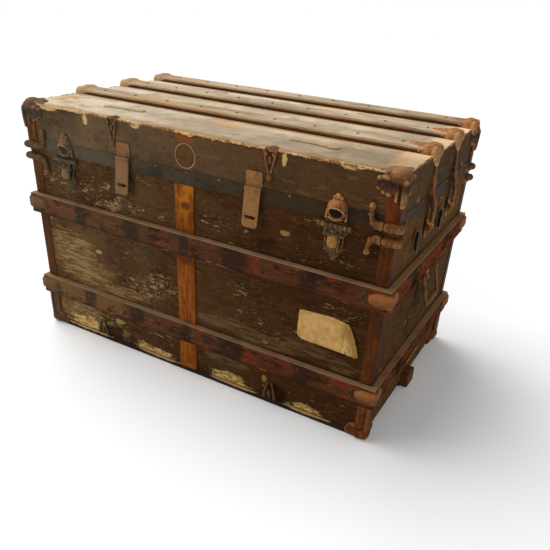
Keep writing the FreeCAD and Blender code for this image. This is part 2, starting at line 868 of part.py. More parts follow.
def hasp_strap(x):
    """The hanging strap: two knuckles, a slanting leaf with a round end, and a slot."""
    pivot = hasp_pivot(x)
    end_y = -half_width - hasp_end_stand
    low_z = pivot.z - hasp_reach
    leaf = prism_x([(pivot.y - hasp_thick, pivot.z), (pivot.y, pivot.z),
                    (end_y, low_z), (end_y - hasp_thick, low_z)], span(x, hasp_width / 2))
    ends = [edge for edge in leaf.Edges
            if abs(edge.CenterOfMass.z - low_z) < hasp_thick
            and abs(abs(edge.CenterOfMass.x - x) - hasp_width / 2) < hasp_thick
            and edge.Length < hasp_thick + hasp_thick]
    leaf = leaf.makeFillet(hasp_round, ends)
    barrel = rod_x(pivot, hasp_width / 2, hasp_barrel)
    half_slot = hasp_slot_height / 2
    slot = block(span(x, hasp_slot_width / 2), (end_y - hasp_end_stand, -half_width),
                 span(pivot.z - hasp_slot_drop, half_slot))
    room = block(span(x, hasp_lug_width / 2 + running_gap),
                 (pivot.y - hasp_end_stand, -half_width),
                 (pivot.z - hasp_barrel - hasp_thick - running_gap,
                  pivot.z + hasp_barrel + running_gap))
    bore = rod_x(pivot, hasp_width, hasp_pin + pin_play)
    return leaf.fuse(barrel).cut([slot, room, bore]).removeSplitter()


def hasp_staple(x):
    """A staple on the base with its plate; the strap's end rests on the loop."""
    face = -half_width - staple_plate_thick
    plate = block(span(x, staple_plate_half), (face, -half_width),
                  (parting_height - staple_plate_low, parting_height - staple_plate_top))
    middle = V(x, -half_width, parting_height - staple_drop)
    loop = Part.makeTorus(staple_radius, staple_wire, middle, V(0, 0, 1))
    front = block(span(x, staple_radius + overrun),
                  (-half_width - staple_radius - overrun, -half_width),
                  span(middle.z, staple_radius))
    return plate.fuse(loop.common(front)).removeSplitter()


def hasps():
    save("hasp_plates", [hasp_plate(x) for x in hasp_places])
    save("hasp_pins", [rod_x(hasp_pivot(x), hasp_width / 2, hasp_pin) for x in hasp_places])
    save("hasp_staples", [hasp_staple(x) for x in hasp_places])
    save("left_hasp_strap", [hasp_strap(hasp_places[0])])
    save("right_hasp_strap", [hasp_strap(hasp_places[1])])


def hinges():
    """Three butt hinges on the back. The lid's leaf has the middle knuckle."""
    axis_y = half_width + hinge_stand
    half = hinge_width / 2
    middle_half = half * hinge_middle_share
    lid_leaves = []
    base_leaves = []
    pins = []
    for x in hinge_places:
        pivot = V(x, axis_y, parting_height)
        bore = rod_x(pivot, hinge_width, hinge_pin + pin_play)
        pins.append(rod_x(pivot, half, hinge_pin))

        knuckle = rod_x(pivot, middle_half, hinge_barrel)
        inner = band_face
        leaf = block(span(x, half), (inner, inner + hinge_leaf_thick),
                     (parting_height + hinge_barrel + leaf_relief, parting_height + lid_leaf_height))
        tie = block(span(x, middle_half), (inner, axis_y),
                    (parting_height + leaf_relief, parting_height + hinge_barrel + hinge_leaf_thick))
        lid_leaves.append(leaf.fuse([knuckle, tie]).cut(bore).removeSplitter())

        barrel = rod_x(pivot, half, hinge_barrel)
        plate = block(span(x, half), (half_width, half_width + hinge_leaf_thick),
                      (parting_height - base_leaf_height,
                       parting_height - hinge_barrel - leaf_relief))
        web = block(span(x, half), (half_width, axis_y),
                    (parting_height - hinge_barrel - hinge_leaf_thick, parting_height - leaf_relief))
        room = block(span(x, middle_half + running_gap), (half_width, axis_y + hinge_barrel + overrun),
                     span(parting_height, hinge_barrel + leaf_relief))
        base_leaves.append(plate.fuse([barrel, web]).cut([room, bore]).removeSplitter())
    save("lid_hinge_leaves", lid_leaves)
    save("base_hinge_leaves", base_leaves)
    save("hinge_pins", pins)


def right_handle():
    """A drop bail: pins turned inward through the lugs, leaning legs and a thicker grip."""
    front_top = V(handle_pivot_stand, -handle_half, 0)
    back_top = V(handle_pivot_stand, handle_half, 0)
    front_low = V(handle_low_stand, -handle_half, -handle_drop)
    back_low = V(handle_low_stand, handle_half, -handle_drop)
    pin = bracket_lug_width + handle_wire + handle_wire
    legs = [link(front_top, front_low, handle_wire), link(back_top, back_low, handle_wire),
            link(front_low, back_low, handle_wire)]
    pins = [rod(front_top, V(0, 1, 0), handle_wire, pin), rod(back_top, V(0, -1, 0), handle_wire, pin)]
    grip = rod_y(V(handle_low_stand, 0, -handle_drop), handle_grip_half, handle_grip)
    grip = grip.makeFillet(handle_wire / 2, grip.Edges)
    bail = legs[0].fuse(legs[1:] + pins + [grip]).removeSplitter()
    bail.translate(V(half_length, handle_y, handle_height))
    return bail


def right_bracket():
    """The handle's plate on the end board, with a pierced lug at each side."""
    top_x = half_length + handle_pivot_stand
    points = both_halves(bracket_leaf_shares, bracket_half, bracket_leaf_low)
    placed = [(handle_y + a, handle_height + min(b, bracket_leaf_top)) for a, b in points]
    plate = prism_x(placed, (half_length, half_length + bracket_plate_thick))
    lugs = []
    for side in (-1, 1):
        near = handle_y + side * (handle_half - handle_wire - running_gap)
        sides = sorted((near, near - side * bracket_lug_width))
        middle = V(top_x, sum(sides) / 2, handle_height)
        lugs.append(rod_y(middle, bracket_lug_width / 2, bracket_lug_radius))
        lugs.append(block((half_length, top_x), sides, span(handle_height, bracket_lug_radius)))
    bore = rod_y(V(top_x, handle_y, handle_height), handle_half, handle_wire + eye_play)
    return plate.fuse(lugs).removeSplitter().cut(bore)


def handles():
    save("handle_brackets", both_ends(right_bracket()))
    handle = right_handle()
    save("right_handle", [handle])
    save("left_handle", [flip_x(handle)])


def end_strap(middle_y):
    """A tapered strap down the lid's end, flaring out below to meet its socket."""
    top = lid_top - top_cap_drop
    bottom = parting_height - strap_reach
    bend = parting_height + strap_bend
    foot = half_length + strap_stand
    band_out = half_length + band_thick
    band_top = parting_height + band_height
    profile = [(half_length, top), (half_length + band_thick + band_thick, top),
               (band_out + strap_thick, bend), (foot, parting_height), (foot, bottom),
               (foot - strap_thick, bottom), (foot - strap_thick, parting_height - band_thick),
               (band_out, parting_height + strap_flare), (band_out, band_top), (half_length, band_top)]
    outline = [(middle_y - strap_top_half, top), (middle_y - strap_low_half, bottom + strap_flare),
               (middle_y - strap_top_half, bottom), (middle_y + strap_top_half, bottom),
               (middle_y + strap_low_half, bottom + strap_flare), (middle_y + strap_top_half, top)]
    side = prism_y(profile, span(middle_y, strap_low_half))
    return side.common(prism_x(outline, (half_length, foot)))


def end_socket(middle_y):
    """The hooked socket on the base below an end strap."""
    top = parting_height - strap_reach - socket_gap
    low = top - socket_height
    foot = half_length + socket_foot
    out = half_length + socket_stand
    points = [(half_length, top), (foot, top), (foot, top - socket_hook),
              (out - socket_foot, top - socket_hook), (out - socket_foot, top), (out, top),
              (out, top - socket_hook - socket_hook), (foot + socket_foot, low), (half_length, low)]
    return prism_y(points, span(middle_y, socket_half))


def end_bumper(middle_y):
    """An oblong iron bumper beside a socket."""
    top = parting_height - bumper_drop
    solid = block((half_length, half_length + bumper_thick), span(middle_y, bumper_half),
                  (top - bumper_height, top))
    uprights = [edge for edge in solid.Edges
                if abs(edge.Length - bumper_thick) < lining and abs(
                    edge.Vertexes[0].X - edge.Vertexes[-1].X) > lining]
    solid = solid.makeFillet(bumper_half - lining, uprights)
    rim = [edge for edge in solid.Edges
           if all(abs(vertex.X - half_length - bumper_thick) < lining / 2 for vertex in edge.Vertexes)]
    return solid.makeFillet(bumper_round, rim)


def end_fittings():
    """Straps, sockets and bumpers at both ends, in line with the two inner lid slats."""
    straps = []
    sockets = []
    bumpers = []
    for front_y in lid_slat_fronts[:2]:
        middle = front_y + top_slat_width / 2
        straps += both_ends(end_strap(middle))
        sockets += both_ends(end_socket(middle))
        bumpers += both_ends(end_bumper(middle - bumper_forward))
    save("lid_end_straps", straps)
    save("end_sockets", sockets)
    save("end_bumpers", bumpers)


def label():
    """A torn paper label on the front."""
    points = [(label_x + a * label_width, label_low + b * label_height) for a, b in label_shares]
    save("paper_label", [prism_y(points, (-half_width - label_thick, -half_width))])


def base_nails():
    """Nail heads along the slats, the corner bindings and the centre strip."""
    nails = []
    front = V(0, -1, 0)
    right = V(1, 0, 0)
    reach_x = slat_x - cap_leg_front - slat_nail_offset
    reach_y = half_width - cap_leg_end - slat_nail_offset
    for low in slat_lows:
        middle = low + slat_height / 2
        for index, x in enumerate(spread(-reach_x, reach_x, slat_nail_pitch)):
            z = middle + (slat_nail_offset if index % 2 else -slat_nail_offset)
            nails += front_and_back(nail_head(V(x, -slat_y, z), front, nail_radius, nail_rise))
        for index, y in enumerate(spread(-reach_y, reach_y, slat_nail_pitch)):
            z = middle + (slat_nail_offset if index % 2 else -slat_nail_offset)
            nails += both_ends(nail_head(V(slat_x, y, z), right, nail_radius, nail_rise))
    binding_x = half_length - binding_width / 2
    binding_stops = [(low_slat_low + slat_height, mid_slat_low),
                     (mid_slat_low + slat_height, parting_height - base_clamp_tip)]
    for z_low, z_high in binding_stops:
        for z in spread(z_low + binding_nail_margin, z_high - binding_nail_margin, binding_nail_pitch):
            nail = nail_head(V(binding_x, -binding_face, z), front, small_nail, small_rise)
            nails += four_corners(nail)
    save("base_nails", nails)


def lid_nails():
    """Nail heads on the lid's band and slats, and round studs on its ends."""
    nails = []
    front = V(0, -1, 0)
    right = V(1, 0, 0)
    up = V(0, 0, 1)
    middle = parting_height + band_height - nail_radius
    clear = clamp_reach + clamp_lean + clamp_ball
    latch_room = catch_dome + nail_radius
    hasp_room = hasp_width / 2 + nail_radius
    for x in spread(clear - half_length, half_length - clear, band_nail_pitch):
        at_latch = abs(abs(x) - latch_x) < latch_room
        at_hasp = any(abs(x - place) < hasp_room for place in hasp_places)
        if not at_latch and not at_hasp:
            nails.append(nail_head(V(x, -band_face, middle), front, small_nail, small_rise))
    strap_middles = [front_y + top_slat_width / 2 for front_y in lid_slat_fronts[:2]]
    for y in spread(clear - half_width, half_width - clear, band_nail_pitch):
        at_strap = any(abs(y - place) < strap_low_half + nail_radius for place in strap_middles)
        if not at_strap:
            nails += both_ends(nail_head(V(half_length + band_thick, y, middle), right,
                                         small_nail, small_rise))
    reach = half_length - top_cap_length - slat_nail_offset
    for place in strap_middles + [lid_slat_fronts[-1] + top_slat_width / 2]:
        for x in spread(-reach, reach, slat_nail_pitch):
            nails.append(nail_head(V(x, place, slat_top), up, nail_radius, nail_rise))
    stud = dome(V(half_length, stud_y, parting_height + stud_height), right, stud_radius, stud_rise)
    nails += four_corners(stud)
    save("lid_nails", nails)


os.makedirs("parts", exist_ok=True)
boards()
skins()
guide_rim()
runners()
slats()
slat_corner_caps()
corner_bindings()
bottom_corner_caps()
corner_clamps()
centre_strip()
edge_clips()
lid_boards()
lid_skins()
lid_slats()
corner_strips()
lid_corner_caps()
lid_plates()
latches()
hasps()
hinges()
handles()
end_fittings()
label()
base_nails()
lid_nails()
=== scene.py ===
import math
import bmesh
import bpy
import numpy
from mathutils import Matrix, Vector


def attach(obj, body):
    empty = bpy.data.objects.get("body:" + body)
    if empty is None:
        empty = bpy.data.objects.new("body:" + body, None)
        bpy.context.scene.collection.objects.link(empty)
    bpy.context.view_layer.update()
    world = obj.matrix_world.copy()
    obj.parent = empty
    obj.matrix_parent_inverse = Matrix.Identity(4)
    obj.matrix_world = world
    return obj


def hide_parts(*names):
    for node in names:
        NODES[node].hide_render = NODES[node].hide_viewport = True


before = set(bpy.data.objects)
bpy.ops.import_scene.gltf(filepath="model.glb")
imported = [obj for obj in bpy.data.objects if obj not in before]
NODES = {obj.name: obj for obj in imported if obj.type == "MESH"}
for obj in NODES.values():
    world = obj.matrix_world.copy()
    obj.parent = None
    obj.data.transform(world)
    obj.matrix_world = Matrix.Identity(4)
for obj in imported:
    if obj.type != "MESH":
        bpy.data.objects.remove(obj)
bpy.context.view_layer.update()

# An old travelling trunk: worn painted canvas over boards, wooden slats and rusted iron fittings.
# X runs along the trunk, the front faces -Y and Z is up; "right" is +X. The finishes count in metres,
# and the modelled pieces are written in millimetres.

MM = 0.001

# The canvas's outer faces, the lid's top and the slats, in metres
TRUNK_X = 0.450
TRUNK_Y = 0.253
LID_TOP = 0.569
SLAT_LOWS = (0.09207, 0.31202)
SLAT_TALL = 0.047

# The same faces and the line where the lid parts, in millimetres
END, FRONT, PARTING, TOP = 450, -253, 465, 569


# ---------------------------------------------------------------- finishes

def paint(red, green, blue):
    """A colour from its 0 to 255 values, as the shader wants it."""
    def straight(value):
        value /= 255
        return value / 12.92 if value <= 0.04045 else ((value + 0.055) / 1.055) ** 2.4
    return (straight(red), straight(green), straight(blue), 1.0)


class Coat:
    """A colour that is laid on in layers."""

    def __init__(self, finish, first):
        self.finish = finish
        self.colour = first

    def lay(self, over, where, share=1):
        """Another colour, where a pattern says and by a share."""
        if share != 1:
            where = self.finish.times(where, share)
        self.colour = self.finish.mix(self.colour, over, where)

    def blot(self, over, share, low, high, *cloud, **more):
        """Another colour in clouds, cut between low and high."""
        self.lay(over, self.finish.blots(low, high, *cloud, **more), share)


class Nodes:
    """Shader nodes made and joined in one tree."""

    def __init__(self, tree):
        self.tree = tree

    def join(self, source, socket):
        """A pattern joined to a socket, or a value set in it. Three numbers are paint."""
        if isinstance(source, Coat):
            source = source.colour
        if isinstance(source, tuple) and len(source) == 3 and socket.type == "RGBA":
            source = paint(*source)
        if isinstance(source, bpy.types.NodeSocket):
            self.tree.links.new(source, socket)
        else:
            socket.default_value = source

    def made(self, kind, inputs, output=0, **settings):
        """A new shader node with its settings and inputs; gives one of its outputs."""
        node = self.tree.nodes.new("ShaderNode" + kind)
        for name, value in settings.items():
            setattr(node, name, value)
        for name, source in inputs.items():
            self.join(source, node.inputs[name])
        return node.outputs[output]

    def sum(self, how, first, second=0.0, third=0.0):
        """One step of arithmetic on two or three values."""
        return self.made("Math", {0: first, 1: second, 2: third}, operation=how)

    def times(self, first, second):
        return self.sum("MULTIPLY", first, second)

    def scaled(self, value, by, plus):
        """The value times one number or pattern, plus another."""
        return self.sum("MULTIPLY_ADD", value, by, plus)

    def larger(self, first, second):
        return self.sum("MAXIMUM", first, second)

    def seen_by(self, one, other):
        """1 for either of two kinds of ray."""
        path = self.tree.nodes.new("ShaderNodeLightPath")
        return self.larger(path.outputs[one], path.outputs[other])


class Finish(Nodes):
    """A material built from patterns that lie still on the piece."""

    def __init__(self, name, rough=0.7, metal=0.0, gloss=0.35):
        self.material = bpy.data.materials.new(name)
        self.material.use_nodes = True
        super().__init__(self.material.node_tree)
        self.shader = self.tree.nodes["Principled BSDF"]
        self.shader.inputs["Roughness"].default_value = rough
        self.shader.inputs["Metallic"].default_value = metal
        self.shader.inputs["Specular IOR Level"].default_value = gloss
        coordinates = self.tree.nodes.new("ShaderNodeTexCoord")
        self.place = coordinates.outputs["Object"]
        axes = self.tree.nodes.new("ShaderNodeSeparateXYZ")
        self.join(self.place, axes.inputs[0])
        self.x, self.y, self.z = axes.outputs
        self.height = None

    def stretched(self, scale, shift=(0, 0, 0)):
        """The piece's own space, scaled and moved before a pattern reads it."""
        return self.made("Mapping", {"Vector": self.place, "Scale": scale, "Location": shift})

    def cloud(self, size, detail=5, rough=0.6, along=(1, 1, 1), shift=0.0, swirl=0.0):
        """Blotches of a size in metres; along stretches them on an axis."""
        space = self.stretched([1 / (size * part) for part in along], (shift, shift, shift))
        return self.made("TexNoise", {"Vector": space, "Scale": 1.0, "Detail": detail, "Roughness": rough,
                                      "Distortion": swirl}, "Fac")

    def cells(self, size):
        """The way to the middle of the nearest of many cells of a size in metres."""
        space = self.stretched([1 / size] * 3)
        return self.made("TexVoronoi", {"Vector": space, "Scale": 1.0}, "Distance")

    def step(self, value, low, high):
        """0 below low, 1 above high, smooth between. Low may be the greater."""
        return self.made("MapRange", {"Value": value, "From Min": low, "From Max": high}, "Result",
                         interpolation_type="SMOOTHSTEP")

    def blots(self, low, high, *cloud, **more):
        """Clouds cut between low and high."""
        return self.step(self.cloud(*cloud, **more), low, high)

    def mix(self, under, over, share, how="MIX"):
        """One colour laid over another."""
        return self.made("Mix", {"Factor": share, "A": under, "B": over}, "Result", data_type="RGBA",
                         blend_type=how)

    def coat(self, first, over=None, where=None):
        """The first layers of a colour."""
        return Coat(self, first if over is None else self.mix(first, over, where))

    def patches(self, places):
        """1 at each place on the piece, falling to 0 at its reach along each axis."""
        total = None
        for middle, reach in places:
            space = self.stretched([1 / part for part in reach], [-at / part for at, part in zip(middle, reach)])
            one = self.made("TexGradient", {"Vector": space}, "Fac", gradient_type="SPHERICAL")
            total = one if total is None else self.larger(total, one)
        return total

    def left_to_right(self, left, right):
        """A tone that shifts from the trunk's left end to its right end."""
        return self.mix((*right, 1.0), (*left, 1.0), self.step(self.x, 0.42, -0.42))

    def ragged(self, places, size=0.03, low=0.3, high=0.5, along=(2, 2, 1), shift=0.0):
        """Patches with torn edges."""
        noise = self.scaled(self.cloud(size, 9, 0.72, along, shift), 1.3, -0.68)
        zone = self.patches(places)
        return self.step(self.sum("ADD", self.times(noise, self.step(zone, 0.0, 0.15)), zone), low, high)

    def near(self, axis, middle, half, fade):
        """1 within half of a place on one axis, falling to 0 over the fade."""
        away = self.sum("ABSOLUTE", self.sum("SUBTRACT", axis, middle))
        return self.step(away, half + fade, half)

    def between(self, value, rise, fall):
        """1 from the second limit of the rise to the second of the fall."""
        return self.times(self.step(value, *rise), self.step(value, *fall))

    def on_end(self, low, high):
        """1 on the trunk's end faces."""
        return self.step(self.sum("ABSOLUTE", self.x), low, high)

    def add_relief(self, *parts):
        """More height: each pattern with its depth in millimetres."""
        for value, depth in parts:
            part = self.times(value, depth * MM)
            self.height = part if self.height is None else self.sum("ADD", self.height, part)

    def weave(self, pitch, depth):
        """Threads that cross on every face of a box."""
        for axis in (self.x, self.y, self.z):
            self.add_relief((self.sum("SINE", self.times(axis, math.tau / (pitch * MM))), depth))

    def done(self, coat, rough=None, tone=None):
        """Join the colour, times the tone of the room it was seen in, with its roughness and relief."""
        if tone is not None:
            coat = self.mix(coat, tone, 1.0, "MULTIPLY")
        self.join(coat, self.shader.inputs["Base Color"])
        if rough is not None:
            self.join(rough, self.shader.inputs["Roughness"])
        if self.height is not None:
            relief = self.made("Bump", {"Strength": 1.0, "Distance": 1.0, "Height": self.height})
            self.join(relief, self.shader.inputs["Normal"])
        return self.material


def front_zones(*places):
    """Places on the front as (x, z, half width, half height)."""
    return [((x, -TRUNK_Y, z), (wide, 0.12, tall)) for x, z, wide, tall in places]


def end_zones(*places):
    """Places on both ends as (y, z, half width, half height)."""
    return [((side * TRUNK_X, y, z), (0.12, wide, tall)) for side in (-1, 1) for y, z, wide, tall in places]


def back_zones(*places):
    return [((x, TRUNK_Y, z), (wide, 0.12, tall)) for x, z, wide, tall in places]


def top_zones(*places):
    """Places on the lid's top as (x, y, half length, half width)."""
    return [((x, y, LID_TOP), (long, wide, 0.1)) for x, y, long, wide in places]


def base_canvas_finish():
    """Brown painted canvas, rubbed to bare cloth low down, scratched and torn along its hem."""
    f = Finish("painted_canvas_base", 0.85, 0.0, 0.02)
    mottle = f.cloud(0.04, 8, 0.66, (2, 2, 1))
    streaks = f.cloud(0.007, 6, 0.66, (7, 7, 1), 2)
    grain = f.cloud(0.005, 5, 0.7, (2.5, 2.5, 1), 5)
    coat = f.coat((76, 54, 35), (100, 78, 56), f.times(f.blots(0.36, 0.6, 0.2, 4), f.step(f.x, 0.42, -0.4)))
    coat.lay((56, 39, 27), f.step(mottle, 0.48, 0.68), 0.85)
    coat.blot((84, 52, 34), 0.6, 0.5, 0.66, 0.09, 5, 0.6, (1.6, 1.6, 1), 7)
    coat.lay((104, 80, 54), f.step(streaks, 0.52, 0.66), 0.6)
    coat.lay((40, 28, 20), f.step(grain, 0.53, 0.66), 0.6)
    coat.blot((112, 84, 56), 0.45, 0.55, 0.63, 0.014, 7, 0.72, (1.4, 1.4, 1), 14)

    # bare cloth, tan to the left and olive to the right
    tan = f.ragged(front_zones((-0.36, 0.24, 0.12, 0.07), (-0.33, 0.19, 0.15, 0.055), (-0.29, 0.165, 0.14, 0.04),
                               (-0.2, 0.157, 0.13, 0.026), (-0.36, 0.06, 0.13, 0.05), (-0.24, 0.04, 0.08, 0.03))
                   + end_zones((0.05, 0.06, 0.1, 0.022))
                   + back_zones((0.2, 0.2, 0.2, 0.06), (-0.3, 0.06, 0.14, 0.03)), 0.008, 0.3, 0.46, (8, 8, 1))
    cloth = f.coat((142, 112, 76), (98, 74, 50), f.blots(0.44, 0.56, 0.007, 7, 0.74, (9, 9, 1)))
    cloth.lay((176, 150, 112), f.step(streaks, 0.5, 0.6), 0.65)
    cloth.blot((66, 50, 36), 0.7, 0.58, 0.64, 0.003, 6, 0.7, (1.4, 1.4, 8), 2)
    coat.lay(cloth, tan, 0.85)
    olive = f.ragged(front_zones((0.1, 0.168, 0.13, 0.03), (0.2, 0.158, 0.14, 0.026), (0.3, 0.175, 0.1, 0.03),
                                 (0.38, 0.16, 0.06, 0.026), (0.1, 0.07, 0.1, 0.02)),
                     0.007, 0.32, 0.46, (8, 8, 1), 3)
    dull = f.mix((126, 108, 80), (86, 68, 48), f.blots(0.44, 0.58, 0.006, 7, 0.74, (9, 9, 1), 1))
    coat.lay(dull, olive, 0.7)

    # flaked paint: short pale dashes in clusters, finer flecks round them and a few upright scratches
    worn = f.patches(front_zones((-0.303, 0.386, 0.1, 0.05), (-0.237, 0.398, 0.11, 0.05), (-0.125, 0.388, 0.12, 0.035),
                                 (-0.057, 0.393, 0.06, 0.03), (-0.37, 0.41, 0.06, 0.03), (-0.1, 0.2, 0.14, 0.05),
                                 (-0.3, 0.06, 0.16, 0.03))
                     + end_zones((-0.1, 0.4, 0.06, 0.02))
                     + back_zones((-0.2, 0.4, 0.2, 0.03), (0.2, 0.25, 0.2, 0.06)))
    faint = f.patches(front_zones((0.278, 0.448, 0.05, 0.02), (0.08, 0.385, 0.16, 0.04), (0.16, 0.262, 0.12, 0.024),
                                  (0.2, 0.225, 0.14, 0.05), (0.34, 0.4, 0.1, 0.04), (0.36, 0.28, 0.08, 0.03)))
    worn = f.larger(f.step(worn, 0.0, 0.6), f.times(f.step(faint, 0.0, 0.6), 0.55))
    cluster = f.scaled(f.cloud(0.045, 4, 0.62, (1.6, 1.6, 1), 6), 0.42, -0.21)
    worn = f.scaled(worn, 0.1, cluster)
    scratches = f.step(f.sum("ADD", f.cloud(0.0075, 6, 0.66, (3, 3, 1), 3), worn), 0.64, 0.67)
    coat.lay(f.mix((178, 152, 116), (128, 102, 74), f.step(grain, 0.42, 0.58)), scratches, 0.8)
    flecks = f.scaled(worn, 0.7, f.cloud(0.003, 4, 0.66, (2, 2, 1), 9))
    coat.lay((196, 170, 130), f.step(flecks, 0.68, 0.71), 0.8)
    upright = f.scaled(worn, 0.5, f.cloud(0.0022, 5, 0.6, (1, 1, 12), 5))
    coat.lay((50, 36, 26), f.step(upright, 0.6, 0.66), 0.6)
    spots = f.ragged(front_zones((0.232, 0.415, 0.022, 0.01), (-0.268, 0.247, 0.018, 0.01),
                                 (0.203, 0.061, 0.012, 0.016), (-0.22, 0.069, 0.028, 0.012),
                                 (-0.28, 0.05, 0.02, 0.02)), 0.006, 0.4, 0.5, (2, 2, 1))
    coat.lay((188, 162, 110), spots, 0.7)

    # torn hem: yellowish wood and threads, in lengths with dark between
    hem_zone = f.patches(front_zones((-0.335, 0.022, 0.11, 0.045), (-0.11, 0.016, 0.12, 0.034),
                                     (0.11, 0.02, 0.1, 0.032), (0.31, 0.014, 0.09, 0.036))
                         + end_zones((-0.16, 0.01, 0.06, 0.014), (0.06, 0.01, 0.1, 0.014))
                         + back_zones((-0.2, 0.016, 0.2, 0.03), (0.25, 0.016, 0.12, 0.024)))
    hem_noise = f.scaled(f.cloud(0.012, 9, 0.76, (3.2, 3.2, 1)), 2.0, -1.02)
    hem = f.step(f.sum("ADD", hem_zone, f.times(hem_noise, f.step(hem_zone, 0.0, 0.2))), 0.4, 0.52)
    threads = f.coat((226, 202, 146), (176, 136, 74), f.blots(0.42, 0.58, 0.005, 6, 0.7, (3, 3, 1)))
    threads.blot((112, 80, 46), 0.8, 0.5, 0.58, 0.009, 8, 0.74, (2, 2, 1), 4)
    coat.lay(threads, hem, 0.92)

    # dirt round the bottom clips, painted shade beside each handle and under the slats, and darker along the bottom
    # edge
    sooty = f.ragged(front_zones((-0.236, 0.03, 0.045, 0.044), (0.238, 0.03, 0.042, 0.042)), 0.01, 0.25, 0.5)
    coat.lay((44, 30, 20), sooty, 0.88)
    # painted shade of the gap behind each handle's bail, laid on as a dark stain where the handle rubs
    rubbed = f.ragged(end_zones((-0.03, 0.266, 0.013, 0.04), (0.028, 0.27, 0.01, 0.024)), 0.006, 0.1, 0.5, (1, 1, 1))
    coat.lay((22, 17, 11), rubbed, 0.85)
    coat.lay((34, 25, 18), f.step(f.z, 0.0195, 0.0145), 0.85)
    # painted shadow on the canvas just under each slat
    for low in SLAT_LOWS:
        coat.lay((30, 22, 17), f.between(f.z, (low - 0.007, low), (low + 0.01, low)), 0.8)
    f.weave(1.6, 0.035)
    f.add_relief((mottle, 0.6), (f.sum("ADD", scratches, hem), -0.6), (streaks, 0.3))
    far_up = f.larger(f.step(f.z, 0.34, 0.4), f.step(f.z, 0.12, 0.08))
    end_tone = f.mix((1.1, 0.98, 0.66, 1.0), (1.6, 1.5, 0.95, 1.0), far_up)
    tone = f.mix(f.left_to_right((0.86, 0.81, 0.7), (0.62, 0.49, 0.33)), (0.92, 0.84, 0.68, 1.0), f.times(hem, 0.75))
    tone = f.mix(tone, end_tone, f.on_end(0.4485, 0.4495))
    return f.done(coat, f.scaled(mottle, 0.25, 0.68), tone)


